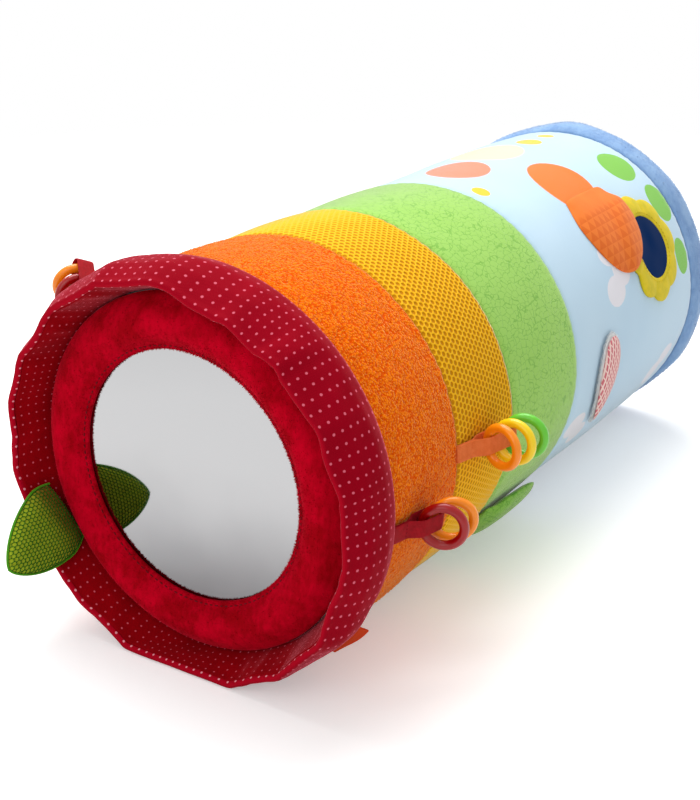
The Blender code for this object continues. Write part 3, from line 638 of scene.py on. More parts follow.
def crackleFinish(name, pale, line, size, sheenTint):
    # printed cotton with a wandering net of darker lines
    made = Finish(name, clothSockets(0.88, 1.0, sheenTint, 0.26, 0.1))
    sway = made.noise(1, made.cloth, stretch=(0.28, 0.28, 0), output="Color")
    bent = made.moved(made.cloth, made.scaled(sway, (3.5, 3.5, 0)))
    lines = made.span(made.cells(size, bent, stretch=(1, 0.8, 1), random=0.8), 0.015, 0.06, 1.0, 0.0)
    drawn = made.times(lines, made.span(made.noise(5, made.cloth), 0.3, 0.55, 0.55, 1.0))
    return made.done(made.mix(made.times(drawn, 0.85), made.mix(made.noise(26), *pale), line),
                     made.less(made.weave(0.45), made.times(drawn, 1.5)), 0.06, 0.6)


# plain shapes printed on the sky cloth: (distance from the cuff seam, degrees round, radii in mm)
skyPrint = {
    "#E6E4EA": [(285, 20, 13, 10), (299, 26, 12, 11), (292, 33, 14, 9), (238, -22, 14, 9),
                (250, -28, 12, 8), (262, 128, 16, 12), (280, 136, 18, 12), (300, 130, 15, 11),
                (365, 168, 18, 12), (345, 176, 16, 10), (250, 178, 12, 9), (330, 214, 18, 12),
                (346, 221, 15, 10), (382, -20, 12, 9), (370, -26, 13, 10)],
    "#F58A6A": [(262, 92, 24, 20), (398, 128, 9, 9), (318, 156, 12, 12), (262, 205, 9, 9)],
    "#FBE6BC": [(318, 97, 29, 24), (240, 152, 8, 8), (300, 190, 12, 14)],
    "#EE7A2A": [(308, 62, 26, 27)],
    "#7CC244": [(384, 60, 18, 15), (396, 40, 13, 15), (396, 18, 10, 13), (390, 192, 13, 10)],
    "#F6C830": [(362, 92, 9, 9), (232, 74, 6, 6), (388, 92, 6, 6)],
}


def skyFinish():
    # blue cotton with the plain shapes printed on it
    made = Finish("sky cotton", clothSockets(0.85, 0.8, "#FFFFFF", 0.3, 0.1))
    colour = made.mix(made.noise(60, detail=1), "#B8D5E9", "#C8E0EF")
    for ink, shapes in skyPrint.items():
        nearest = None
        for along, degrees, halfAlong, halfAround in shapes:
            u = (math.radians(degrees) - down) * roll["radius"] / mm
            v = cuffSeam / mm + along
            local = made.scaled(made.moved(made.cloth, (-u, -v, 0)), (1 / halfAround, 1 / halfAlong, 0))
            far = made.add("VectorMath", {0: local}, operation="LENGTH").outputs["Value"]
            nearest = far if nearest is None else made.math("SMOOTH_MIN", nearest, far, 0.12)
        wobble = made.times(made.less(made.noise(1.2, made.cloth), 0.5), 0.05)
        colour = made.mix(made.span(made.plus(nearest, wobble), 0.96, 1.0, 1.0, 0.0), colour, ink)
    return made.done(colour, made.woven(0.4, 0.6, 0.8, made.cloth), 0.05, 0.5)


def plushFinish(name, dark, pale, tint, patchSize):
    # short velvet: broad brushed patches with fine streaks in them
    made = Finish(name, clothSockets(0.9, 0.8, tint, 0.3, 0.03))
    streak = made.noise(2.2, stretch=(1, 1, 0.4))
    shade = made.plus(made.times(made.noise(patchSize), 0.65), made.times(streak, 0.35))
    return made.done(made.mix(made.span(shade, 0.32, 0.68), dark, pale), shade, 0.6, 0.5)


dots = {
    "pitchAround": 5.7,
    "pitchAlong": 4.5,
    "softness": 0.15,
    "rimPlace": 1.2,
    "rimHighlightFade": (0.6, 3.6),
    "rimHighlightDot": "#F0A0AC",
}


def dottedFinish(name, base, deep, rimHighlightColour, dot, radius):
    # red cotton with small dots in straight rows
    made = Finish(name, clothSockets(0.82, 0.9, "#FF8898", 0.24, 0.04))
    across, along = made.parts(made.cloth)
    squares = []
    for value, pitch in ((across, dots["pitchAround"]), (along, dots["pitchAlong"])):
        away = made.times(made.fromMiddle(value, pitch), pitch)
        squares.append(made.times(away, away))
    spot = made.span(made.math("SQRT", made.plus(*squares)), radius - dots["softness"],
                     radius + dots["softness"], 1.0, 0.0)
    # the cloth and its dots are painted brighter along the rim, where it turns in: a painted highlight on
    # the rolled edge
    fromRim = made.math("ABSOLUTE", made.less(along, dots["rimPlace"]))
    rimHighlight = made.span(fromRim, *dots["rimHighlightFade"], 1.0, 0.0)
    cloth = made.mix(rimHighlight, made.mix(made.noise(14), base, deep), rimHighlightColour)
    return made.done(made.mix(spot, cloth, made.mix(rimHighlight, dot, dots["rimHighlightDot"])),
                     made.woven(0.5, 0.9, 0.6), 0.06, 0.6)


def plainCloth(name, base, deep, grain, tint, size=10):
    made = Finish(name, clothSockets(0.85, 0.3, tint))
    return made.done(made.mix(made.noise(size, detail=3), base, deep), made.noise(grain), 0.12, 0.7)


def ribbonFinish(name, base, deep):
    # a woven ribbon: fine ribs along it and across it, with a little painted shade in the deeper colour
    # between the ribs
    made = Finish(name, clothSockets(0.7, 0.15, base, 0.4, 0.15))
    across, along = made.parts(made.cloth)
    height = made.plus(made.wave(along, 0.7), made.times(made.wave(across, 0.8), 0.5))
    share = made.span(made.plus(made.times(height, 0.2), made.noise(3)), 0.2, 0.9)
    return made.done(made.mix(share, deep, base), height, 0.08, 0.8)


def plasticFinish(name, base, deep):
    # smooth moulded plastic, a little worn by small hands
    made = Finish(name, {"Roughness": 0.3, "Specular IOR Level": 0.3, "Coat Weight": 0.25,
                         "Coat Roughness": 0.08})
    return made.done(made.mix(made.noise(5), base, deep), made.noise(2.5, detail=4), 0.03, 0.4)


def mirrorFinish(name, pale, deep, roughness, edgeTint):
    # thin film, painted darker from its top to its bottom: a painted reflection of the shaded floor below
    # it
    made = Finish(name, {"Metallic": 1.0, "Roughness": roughness, "Specular IOR Level": 0.5,
                         "Specular Tint": paint(edgeTint)})
    height = made.add("SeparateXYZ", {"Vector": made.place}).outputs["Z"]
    paintedReflection = made.span(made.plus(height, made.times(made.noise(45), 30)), 35, 135)
    return made.done(made.mix(paintedReflection, deep, pale), made.noise(30, detail=1), 0.05, 0.15)


def checkFinish():
    # pink cloth in slanted checks, each with a few pale lines
    made = Finish("pink checks", clothSockets(0.85, 0.3, "#FFD0D0"))
    across, along = made.parts(made.cloth)
    line = made.fromMiddle(made.plus(across, made.times(along, 0.25)), 3.4)
    row = made.fromMiddle(made.less(along, made.times(across, 1.2)), 5.6)
    pale = made.math("MAXIMUM", made.span(line, 0.22, 0.34), made.span(row, 0.36, 0.44))
    rose = made.mix(made.noise(4), "#C8606A", "#D67880")
    return made.done(made.mix(made.times(pale, 0.9), rose, "#F6DCD2"), made.woven(0.5, 0.6, 1), 0.08, 0.6)


def scaleFinish():
    # orange cloth with rows of darker pointed scales on its lower part
    made = Finish("orange scales", clothSockets(0.85, 0.3, "#FFC8A0"))
    pitch = 6.5
    across, along = made.parts(made.cloth)
    row = made.math("DIVIDE", along, pitch)
    shift = made.times(made.math("FLOORED_MODULO", made.math("FLOOR", row), 2), pitch / 2)
    spread = made.times(made.fromMiddle(made.plus(across, shift), pitch), 2)
    scale = made.span(made.less(made.math("FRACT", row), spread), -0.04, 0.06)
    drawn = made.times(made.times(scale, made.span(along, 12, 20)), 0.5)
    orange = made.mix(made.noise(12), "#EE8030", "#E26C26")
    return made.done(made.mix(drawn, orange, "#D4540E"), made.woven(0.5, 0.7, 1), 0.07, 0.6)


def leafFinish():
    # green cloth under the leaf's net, browner towards its root
    made = Finish("leaf cloth", clothSockets(0.9, 0.3, "#C8E070", 0.45, 0.15))
    along = made.parts(made.cloth)[1]
    root = made.span(made.plus(along, made.times(made.noise(8), 14)), 8, 30)
    green = made.mix(made.noise(5, detail=3), "#98A81E", "#B4C830")
    return made.done(made.mix(root, "#84501A", green), made.noise(0.8), 0.12, 0.7)


finish = {
    # the third colour of each dotted cloth is its painted highlight along the rim
    "redDots": dottedFinish("red dotted cotton", "#9C001A", "#8A0014", "#AC041E", "#D86478", 0.62),
    "redDotsInside": dottedFinish("red dotted lining", "#A40010", "#800008", "#A40010", "#D05A6A", 0.52),
    "redPlush": plushFinish("red plush", "#98000E", "#C40020", "#FF3048", 13),
    "redThread": plainCloth("dark red thread", "#6E0010", "#560008", 0.4, "#C04050"),
    "terry": terryFinish("orange terry", False),
    "terryLoops": terryFinish("orange terry loops", True),
    "mesh": meshFinish(),
    "green": crackleFinish("green cotton", ("#A4D26A", "#98CA5E"), "#7CB44C", 3.8, "#FAFFF0"),
    "flapGreen": crackleFinish("green flap cotton", ("#8CC254", "#7CB446"), "#569A30", 3.8, "#F0FFD8"),
    "sky": skyFinish(),
    "bluePlush": plushFinish("blue plush", "#7A9BC8", "#90B0D6", "#F0F8FF", 16),
    "petal": plainCloth("yellow petal cotton", "#F0D020", "#B4AC1C", 0.8, "#FFF4A0", 6),
    "scales": scaleFinish(),
    "whiteTerry": plushFinish("white terry", "#EEF2F2", "#FFFFFF", "#FFFFFF", 4),
    "checks": checkFinish(),
    "leaf": leafFinish(),
    "net": plainCloth("green net", "#3A7A14", "#2A6010", 0.6, "#90C850", 4),
    "braid": plainCloth("green braid", "#52A014", "#3E8410", 0.7, "#B0E060", 3),
    "tag": plainCloth("tag tape", "#DC4812", "#CC3808", 0.5, "#FFA080", 4),
    "redRibbon": ribbonFinish("red ribbon", "#B00E1E", "#8C0412"),
    "orangeRibbon": ribbonFinish("orange ribbon", "#F08448", "#E06C30"),
    "redRing": plasticFinish("red plastic", "#A80208", "#920004"),
    "orangeRing": plasticFinish("orange plastic", "#FC9410", "#F48408"),
    "yellowRing": plasticFinish("yellow plastic", "#F8D818", "#F0CC0C"),
    "greenRing": plasticFinish("green plastic", "#6CCC38", "#5CBC2C"),
    # both mirror films are toned down from a plain mirror, the side one to a dark blue-grey: painted
    # reflection of their surroundings
    "mirror": mirrorFinish("mirror film", "#A9A9AA", "#828284", 0.04, "#FFFFFF"),
    "sideMirror": mirrorFinish("side mirror film", "#485068", "#262C40", 0.1, "#8088A0"),
    "filling": plainCloth("fibre filling", "#F0F0EC", "#DCDCD6", 3.0, "#FFFFFF", 12),
    "foam": plainCloth("foam", "#E8E6DC", "#D4D0C4", 1.0, "#FFFFFF", 6),
}
makeCamera()
makeStage()
print("camera, stage and finishes made")


# the four bands, and the net that the yellow one is covered with
band = {
    "edgeOffsets": (0, 0.35 * mm, 0.8 * mm, 1.4 * mm, 2.2 * mm),
    "turnIn": 1.5 * mm,
    "terrySpacing": 0.95 * mm,
    "terryColumns": 690,
    "terryLoop": 0.42 * mm,
    "terryRelief": ((0.7, 2.1 * mm, 41), (0.3, 5 * mm, 42)),
    "terryLap": 1.1 * mm,
    "lapReach": 5 * mm,
    "plainSpacing": 3.0 * mm,
    "plainColumns": 264,
    "underNet": 0.35 * mm,
    "netRows": 20,
    "netAround": 190,
    "netHeight": 0.75 * mm,
    "netMargin": 0.7 * mm,
    "netSink": 0.3 * mm,
    "netDepth": 1.2 * mm,
    "netUndercut": 0.6 * mm,
    "netHole": 0.6,
    "loopCount": 26000,
    "loopSize": (0.24 * mm, 0.2 * mm, 0.75 * mm),
    "fill": 0.95,
}


def bandRows(start, end, spacing):
    offsets = np.array(band["edgeOffsets"])
    first, last = start + roll["gap"] / 2, end - roll["gap"] / 2
    inside = np.linspace(first + offsets[-1], last - offsets[-1],
                         max(3, int((last - first) / spacing)))
    return np.concatenate([first + offsets[:-1], inside, (last - offsets[:-1])[::-1]])


def sleeve(name, start, end, kind, material, relief=None, sink=0.0, loop=0.0, lap=0.0):
    # a band of cloth round the filling, with its cut edges turned in at both seams
    y = bandRows(start, end, band[kind + "Spacing"])
    angle = around(band[kind + "Columns"])
    ys, angles = crossed(y, angle)
    radius = skinRadius(ys, angles) - sink
    lapped = lap * smoothStep((ys - end + band["lapReach"]) / band["lapReach"])
    radius = radius + lapped * (0.9 + 0.2 * softNoise(onRoll(ys, angles, radius), 9 * mm, 45))
    ys = ys + lapped * (1 + 0.35 * softNoise(onRoll(ys, angles, radius), 3 * mm, 44))
    height = None
    if relief is not None:
        height = relief(ys, angles)
        edge = np.minimum(ys - y[0], y[-1] + lapped - ys)
        radius = radius + loop * height * smoothStep(edge / band["turnIn"])
        height = np.concatenate([height, np.zeros((2, len(angle)))]) / 2 + 0.5
    inner = settled(onRoll(y[[-1, 0]][:, None], angle[None, :], roll["innerRadius"]),
                    roll["innerFloor"])
    points = np.concatenate([settled(onRoll(ys, angles, radius)), inner])
    cloth = clothOf(roundCloth(angle, roll["radius"]), np.concatenate([y, y[[-1, 0]], y[:1]]))
    return gridPiece(name, points, material, True, True, cloth, height)


def terryRelief(y, angle):
    return lumpy(onRoll(y, angle, roll["radius"]), band["terryRelief"])


def meshMargin(y, angle):
    # the plain hem beside both seams, which the net leaves bare; as a colour mask it gives the hem the
    # net's ridge colour and the cloth under the net the painted shade of the holes
    away = np.minimum(np.abs(y - orangeSeam), np.abs(y - yellowSeam))
    return 1 - 2 * smoothStep((away - band["netMargin"]) / (1 * mm)) + 0 * angle


for name, start, end, kind, cloth, slot, more in (
        ("orange", cuffSeam, orangeSeam, "terry", "terry", "orange_terry",
         (terryRelief, 0.0, band["terryLoop"], band["terryLap"])),
        ("green", yellowSeam, greenSeam, "plain", "green", "green_cloth", ()),
        ("sky", greenSeam, skySeam, "plain", "sky", "sky_cloth", ()),
        ("yellow", orangeSeam, yellowSeam, "plain", "mesh", "yellow_mesh",
         (meshMargin, band["underNet"]))):
    made = sleeve(name + "Band", start, end, kind, finish[cloth], *more)
    rest(made, "roll", slot, [name + "_band"])


def wrapped(mesh, place):
    # bends a mesh that was laid out flat, with its own heights, on to a surface
    flat = pointsOf(mesh)
    setPoints(mesh, place(flat[:, 0], flat[:, 1], flat[:, 2]))
    return flat


def closedUnder(mesh, depth):
    # turns both ends of a sheet that goes round the roll inwards, and joins them under it
    middle = (orangeSeam + yellowSeam) / 2

    def change(shape):
        seen = len(shape.faces)
        made = bmesh.ops.extrude_edge_only(shape, edges=openEdges(shape))["geom"]
        for point in (each for each in made if isinstance(each, bmesh.types.BMVert)):
            outward = Vector((point.co.x, 0, point.co.z - roll["axisHeight"]))
            point.co -= outward.normalized() * depth
            point.co.y += math.copysign(band["netUndercut"], middle - point.co.y)
        bmesh.ops.bridge_loops(shape, edges=openEdges(shape))
        shape.faces.ensure_lookup_table()
        for face in shape.faces[seen:]:
            face.smooth = False
        bmesh.ops.triangulate(shape, faces=[face for face in shape.faces if len(face.verts) > 4])

    reshaped(mesh, change)


def makeYellowNet():
    low, high = orangeSeam + band["netMargin"], yellowSeam - band["netMargin"]
    pitch = math.tau * roll["radius"] / band["netAround"]
    rowPitch = (high - low) / (band["netRows"] + 1 / 3)
    rows, columns = crossed(np.arange(band["netRows"]), np.arange(band["netAround"]))
    u = (columns + (rows % 2) / 2) * pitch
    cell = netElement("mesh cell", band["netHole"], True)
    points = np.stack([u, low + (rows + 2 / 3) * rowPitch, np.zeros_like(u)], -1)
    size = (pitch, rowPitch / (math.sqrt(3) / 2), band["netHeight"])
    mesh = repeated("yellowNet", cell, points, finish["mesh"], size)
    bpy.data.objects.remove(cell)

    def place(across, along, height):
        angle = down + across / roll["radius"]
        radius = skinRadius(along, angle) - band["netSink"] + height
        return settled(onRoll(along, angle, radius), 0.1 * mm)

    setRelief(mesh, wrapped(mesh, place)[:, 2] / band["netHeight"])
    weld(mesh, 0.02 * mm)
    closedUnder(mesh, band["netDepth"])
    return newPiece("yellowNet", mesh)


rest(makeYellowNet(), "roll", "yellow_mesh")


def pileOn(name, place, normalAt, count, spanU, spanV, size, material, tilt, seed, forward):
    # fibres stood on a surface that two parameters run over, at fixed random places
    random = np.random.default_rng(seed)
    u = random.uniform(*spanU, count)
    v = random.uniform(*spanV, count)
    points, normals = place(u, v), normalAt(u, v)
    mesh = repeated(name, strand, points, material, size, turnsFor(normals, forward(u, v, random)),
                    0.35, tilt, seed)
    return newPiece(name, mesh)


def terryPlace(angle, y):
    return settled(onRoll(y, angle, skinRadius(y, angle) - 0.1 * mm), 0.1 * mm)


def rollNormal(angle, y):
    return np.stack([np.cos(angle), np.zeros_like(y), np.sin(angle)], -1)


def anyWay(u, v, random):
    turn = random.uniform(0, math.tau, len(u))
    return np.stack([np.cos(turn), np.sin(turn), np.sin(turn * 3)], -1)


terryLoops = pileOn("terryLoops", terryPlace, rollNormal, band["loopCount"], (down, down + math.tau),
                    (cuffSeam + 1 * mm, orangeSeam + 0.4 * mm), band["loopSize"],
                    finish["terryLoops"], 0.6, 11, anyWay)
rest(terryLoops, "roll", "orange_terry")
print("bands made")


# the plush ring that rolls over the rear edge, and the panel that closes the end
rearEnd = {
    "bulge": 3 * mm,
    "edgeRound": 12 * mm,
    "crown": 7 * mm,
    "thickness": 2.5 * mm,
    "lumps": ((1.7 * mm, 30 * mm, 51),),
    "rows": 26,
    "columns": 240,
    "panelRows": (15, 8),
    "wrinkles": ((0.8 * mm, 30 * mm, 53),),
    "edgeDip": 1.0 * mm,
    "clothLength": 40 * mm,
    "pile": 9000,
    "pileSize": (0.2 * mm, 0.2 * mm, 0.8 * mm),
    "fill": 0.9,
}
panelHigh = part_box("rear_panel")[1]
blueEdge = panelHigh.y - rearEnd["crown"]


def blueSkin(share, angle):
    # share runs from the sky seam, at 0, round the rear edge to the panel, at 1
    start = blueEdge - rearEnd["edgeRound"]
    flatLength, arc = start - skySeam, rearEnd["edgeRound"] * math.pi / 2
    along = share * (flatLength + arc)
    turn = np.clip((along - flatLength) / rearEnd["edgeRound"], 0, math.pi / 2)
    y = skySeam + roll["gap"] / 2 + np.minimum(along, flatLength - roll["gap"] / 2)
    y = y + rearEnd["edgeRound"] * np.sin(turn)
    rise = rearEnd["bulge"] * smoothStep(along / (9 * mm)) ** 0.5
    radius = roll["radius"] - roll["seamDip"] * (1 - smoothStep(along / (2 * mm))) + rise
    radius = radius - rearEnd["edgeRound"] * (1 - np.cos(turn))
    flat = onRoll(y, angle, radius)
    ends = smoothStep(along / (5 * mm)) * (1 - 0.8 * smoothStep((share - 0.8) / 0.2))
    lump = lumpy(flat, rearEnd["lumps"]) * ends
    return y + lump * np.sin(turn), radius + lump * np.cos(turn), turn


def makeRearEnd():
    angle = around(rearEnd["columns"])
    share = np.linspace(0, 1, rearEnd["rows"])
    shares, angles = crossed(share, angle)
    y, radius, turn = blueSkin(shares, angles)
    outer = settled(onRoll(y, angles, radius))
    thick = rearEnd["thickness"]
    inner = settled(onRoll(y - thick * np.sin(turn) * 0.98, angles, radius - thick * np.cos(turn)),
                    1 * mm)[::-3]
    v = np.concatenate([share, share[::-3], share[:1]]) * rearEnd["clothLength"]
    ring = gridPiece("blueEndRing", np.concatenate([outer, inner]), finish["bluePlush"], True,
                     True, clothOf(roundCloth(angle, roll["radius"]), v))
    rest(ring, "roll", "blue_plush", ["blue_end_ring"])

    edge = roll["radius"] + rearEnd["bulge"] - rearEnd["edgeRound"] - roll["gap"]
    outward, back = rearEnd["panelRows"]
    out = np.concatenate([np.linspace(0, 1, outward), np.linspace(1, 0, back)])
    side = np.concatenate([np.zeros(outward), np.ones(back)])
    outs, angles = crossed(out * edge, angle)
    rise = rearEnd["crown"] * (1 - (outs / edge) ** 2)
    y = blueEdge + rise - side[:, None] * thick
    flat = onRoll(y, angles, outs)
    wrinkle = lumpy(flat, rearEnd["wrinkles"]) * (1 - (outs / edge) ** 4)
    y = y + wrinkle - rearEnd["edgeDip"] * smoothStep((outs / edge - 0.93) / 0.07)
    panel = gridPiece("rearPanel", onRoll(y, angles, outs), finish["bluePlush"], False, True)
    rest(panel, "roll", "blue_plush", ["rear_panel"])

    def place(angle, share):
        y, radius, _ = blueSkin(share, angle)
        return settled(onRoll(y, angle, radius - 0.2 * mm), 0.2 * mm)

    def normalAt(angle, share):
        turn = blueSkin(share, angle)[2]
        return np.stack([np.cos(angle) * np.cos(turn), np.sin(turn), np.sin(angle) * np.cos(turn)], -1)

    pile = pileOn("bluePile", place, normalAt, rearEnd["pile"], (down, down + math.tau),
                  (0.03, 0.99), rearEnd["pileSize"], finish["bluePlush"], 0.5, 12, anyWay)
    rest(pile, "roll", "blue_plush")


makeRearEnd()
print("rear end made")


# the dotted cuff: an outer cloth folded over at the rim, in flat pleats, and its lining
cuff = {
    "depth": 36 * mm,
    "flare": 4.6 * mm,
    "cloth": 1.8 * mm,
    "fold": 2.2 * mm,
    "pleats": 18,
    "pleatDepth": 2.4 * mm,
    "facetColumns": 22,
    "liningDepth": 11 * mm,
    "liningRadius": 99.4 * mm,
    "liningBow": 0.85,
    "crease": 0.7 * mm,
    "overlap": 6 * mm,
    "swell": 8 * mm,
    "swellShares": ((0, 0.38), (0.08, 0.78), (0.3, 1), (0.6, 0.75), (0.85, 0.25), (0.93, 0), (1, 0)),
    "overlapShares": ((0, 1), (0.08, 0.67), (0.3, 0.2), (0.6, 0), (1, 0)),
    "sag": 3.5 * mm,
    "sagPlace": (math.radians(66), math.radians(17)),
    "foldCount": 30,
    "foldDepth": 2.0 * mm,
    "unevenness": ((0.035, 3, 1), (0.022, 7, 2.3)),
    "rootTuck": (1.2 * mm, 0.2 * mm),
    "wrinkles": ((0.5 * mm, 18 * mm, 61), (0.2 * mm, 7 * mm, 62)),
    "rimWaver": ((0.8 * mm, 26 * mm, 63),),
    "rimRows": 9,
    "wallRows": 22,
    "clothRadius": 107,
}
rim = cuffSeam - cuff["depth"]


def fromTable(table, share):
    # a value read from a table of shares, with its corners rounded off
    at, value = np.array(table).T
    return sum(np.interp(share + step, at, value) for step in (-0.03, 0, 0.03)) / 3


def cuffShare(y):
    # nought at the cuff's root and one at its rim
    return (cuffSeam - y) / cuff["depth"]


def cuffSag(y, angle):
    # the cloth sinks in a little at its upper right
    middle, width = cuff["sagPlace"]
    return cuff["sag"] * np.exp(-((angle - middle) / width) ** 2) * smoothStep(cuffShare(y))


def cuffSwell(y, angle):
    # how far the cloth balloons out behind the rim, less where it sinks in
    raised = smoothStep((1 + np.sin(angle)) / 0.5)
    return cuff["swell"] * fromTable(cuff["swellShares"], cuffShare(y)) * raised - cuffSag(y, angle)


def cuffSlide(y, angle):
    # how far it laps over the orange band, on its upper side
    lapped = smoothStep((1 + np.sin(angle) - 0.40) / 0.47)
    return cuff["overlap"] * lapped * fromTable(cuff["overlapShares"], cuffShare(y))


def cuffFolds(y, angle):
    # narrow folds at fixed random places, which fan out from the root to the rim
    random = np.random.default_rng(19)
    depth = smoothStep(cuffShare(y) - 0.1)
    total = np.zeros(np.broadcast(y, angle).shape)
    for number in range(cuff["foldCount"]):
        middle = math.tau * (number + random.uniform(-0.35, 0.35)) / cuff["foldCount"]
        width, lean, size = random.uniform(0.018, 0.04), random.uniform(-0.1, 0.1), random.uniform(0.3, 1)
        away = (angle - middle - lean * depth + math.pi) % math.tau - math.pi
        total = total + size * np.exp(-(away / width) ** 2)
    return cuff["foldDepth"] * total * depth


def cuffAngles():
    # columns stand at every pleat corner, and the pleats are a little uneven
    plain = around(cuff["pleats"] * cuff["facetColumns"])
    return plain, plain + sum(size * np.sin(count * plain + start)
                              for size, count, start in cuff["unevenness"])


def facetAt(plain):
    # which pleat each column is in, and how far across it
    turn = (plain - down) * cuff["pleats"] / math.tau
    return np.floor(turn), turn - np.floor(turn)


def pleatDip(y, plain):
    # how far a flat facet lies inside its corners, and a crease that runs down from a corner
    facet, share = facetAt(plain)
    uneven = 0.95 + 0.3 * np.sin(facet * 2.4 + 0.7)
    dip = cuff["pleatDepth"] * uneven * np.abs(np.sin(np.pi * share)) ** 1.6
    slant = 0.5 * mm * np.sin(facet * 5.1) * (share - 0.5)
    return -(dip + slant) * smoothStep(cuffShare(y))


def cuffRadius(y):
    return roll["radius"] + cuff["flare"] * np.sin(math.pi / 2 * cuffShare(y))


def makeCuff():
    plain, angle = cuffAngles()
    cloth, rows = cuff["cloth"], cuff["wallRows"]
    wall = cloth * 2 + roll["gap"]
    rimRadius = cuffRadius(rim)
    y = list(np.linspace(cuffSeam - roll["gap"] / 2, rim + cuff["fold"] * 1.1, rows))
    radius = [cuffRadius(each) for each in y]
    for row, tuck in enumerate(cuff["rootTuck"]):
        radius[row] -= tuck
    lowest = [0.0] * rows
    for turn in np.linspace(0.15, math.pi - 0.15, cuff["rimRows"]):
        y.append(rim + cuff["fold"] * (1 - math.sin(turn)))
        radius.append(rimRadius - wall / 2 + wall / 2 * math.cos(turn))
        lowest.append((1 - math.cos(turn)) * wall / 2)
    rimMiddle = len(y) - cuff["rimRows"] // 2 - 1
    back = rim + cuff["fold"]
    y += [back - roll["gap"]] * 2 + list(np.linspace(rim + 8 * mm, cuffSeam - roll["gap"] / 2, 4))
    radius += [rimRadius - wall, rimRadius - cloth] + [cuffRadius(each) - cloth for each in y[-4:]]
    lowest += [wall] + [cloth] * 5
    ys, angles = crossed(np.array(y), angle)
    radii = np.array(radius)[:, None] + pleatDip(ys, plain[None, :]) + cuffSwell(ys, angles)
    flat = onRoll(ys, angles, radii)
    wrinkle = lumpy(flat, cuff["wrinkles"])
    radii = radii + wrinkle * smoothStep((cuffSeam - ys) / (8 * mm)) - 0.35 * cuffFolds(ys, angles + 0.06)
    ys = ys + lumpy(flat, cuff["rimWaver"]) * smoothStep(cuffShare(ys)) + cuffSlide(ys, angles)
    points = settled(onRoll(ys, angles, radii), np.array(lowest)[:, None])
    span = spansOf(np.stack([y, radius], -1))
    count = round(math.tau * cuff["clothRadius"] / dots["pitchAround"])
    u = roundCloth(plain, count * dots["pitchAround"] * mm / math.tau)
    uv = clothOf(u, np.append(span, span[-1]) - span[rimMiddle])
    outer = gridPiece("cuffOuter", points, finish["redDots"], True, True, uv)
    rest(outer, "roll", "red_dotted_cloth", ["cuff_outer"])

    root, frontRadius = cuffSeam - cuff["liningDepth"], rimRadius - cloth - roll["gap"]
    share = np.linspace(0, 1, rows)
    y = root + (back - root) * share
    radius = cuff["liningRadius"] + (frontRadius - cuff["liningRadius"]) * share ** cuff["liningBow"]
    both = np.concatenate([radius, (radius - cloth)[::-1]])
    ys, angles = crossed(np.concatenate([y, y[::-1]]), angle)
    radii = both[:, None] + pleatDip(ys, plain[None, :]) - cuffSag(ys, angles)
    facet, across = facetAt(plain)
    sway = np.abs(across - 0.5 - 0.25 * np.sin(facet * 3.3)) * 2
    crease = np.maximum(0, 1 - sway * 2.6) * (0.5 + 0.5 * np.sin(facet * 1.9))
    radii = radii - cuff["crease"] * crease[None, :] * smoothStep(cuffShare(ys) - 0.15)
    radii = radii - cuffFolds(ys, angles) * smoothStep((ys - back) / (9 * mm))
    low = np.repeat([cloth + roll["gap"], wall], rows)
    points = settled(onRoll(ys, angles, radii), low[:, None])
    span = spansOf(np.stack([ys[:, 0], both], -1))
    lining = gridPiece("cuffLining", points, finish["redDotsInside"], True, True,
                       clothOf(u, np.append(span, span[-1])))
    rest(lining, "roll", "red_dotted_cloth", ["cuff_lining"])


makeCuff()
print("cuff made")


# the stuffed plush ring, the mirror that it holds and the stitches between them
front = {
    "mirrorRadius": 71.5 * mm,
    "mirrorWaves": ((0.12 * mm, 45 * mm, 75),),
    "lip": 3.3 * mm,
    "lipThickness": 1.4 * mm,
    "ringRadius": 95.9 * mm,
    "columns": 300,
    "rows": 56,
    "lumps": ((0.8 * mm, 26 * mm, 71), (0.35 * mm, 7 * mm, 72)),
    "clothRadius": 84 * mm,
    "pile": 9000,
    "pileSize": (0.2 * mm, 0.2 * mm, 1.0 * mm),
    "stitchRadius": 70.4 * mm,
    "stitchGroove": 0.9 * mm,
    "stitchSize": (2.6 * mm, 0.7 * mm, 3.4 * mm),
    "leafHollow": 1.9 * mm,
    "leafHollowAngle": math.radians(-148),
    "leafHollowWidth": 0.11,
    "floor": 3.9 * mm,
    "fill": 0.85,
}
mirrorLow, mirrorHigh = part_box("front_mirror")
plushLow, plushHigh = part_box("plush_ring")


def closedCurve(corners, count):
    # a smooth closed outline through the corners, evenly stepped
    corners = np.asarray(corners, float)
    before, after, later = (np.roll(corners, shift, 0) for shift in (1, -1, -2))
    pieces = []
    for t in np.linspace(0, 1, 12, endpoint=False):
        pieces.append(0.5 * (2 * corners + (after - before) * t
                             + (2 * before - 5 * corners + 4 * after - later) * t * t
                             + (3 * corners - before - 3 * after + later) * t ** 3))
    path = np.stack(pieces, 1).reshape(-1, 2)
    path = np.vstack([path, path[:1]])
    span = spansOf(path)
    return readAlong(np.linspace(0, span[-1], count, endpoint=False), span, path)


def plushOutline():
    crest, edge = plushLow.y, plushLow.y + 10 * mm
    lip = front["mirrorRadius"] - front["lip"]
    width = front["ringRadius"] - lip
    bore = front["mirrorRadius"] + roll["gap"]
    lipBack = mirrorLow.y - roll["gap"]
    corners = [(plushHigh.y, bore), (plushHigh.y, front["ringRadius"] - 3 * mm),
               (edge, front["ringRadius"] + 1.2 * mm)]
    for inward, rise in ((0.10, 0.50), (0.30, 0.90), (0.50, 1.00), (0.72, 0.84), (0.90, 0.45)):
        corners.append((edge + (crest - edge) * rise, front["ringRadius"] - width * inward))
    corners += [(lipBack - front["lipThickness"], lip), (lipBack, lip + 0.4 * mm), (lipBack, bore)]
    return closedCurve(corners, front["rows"])


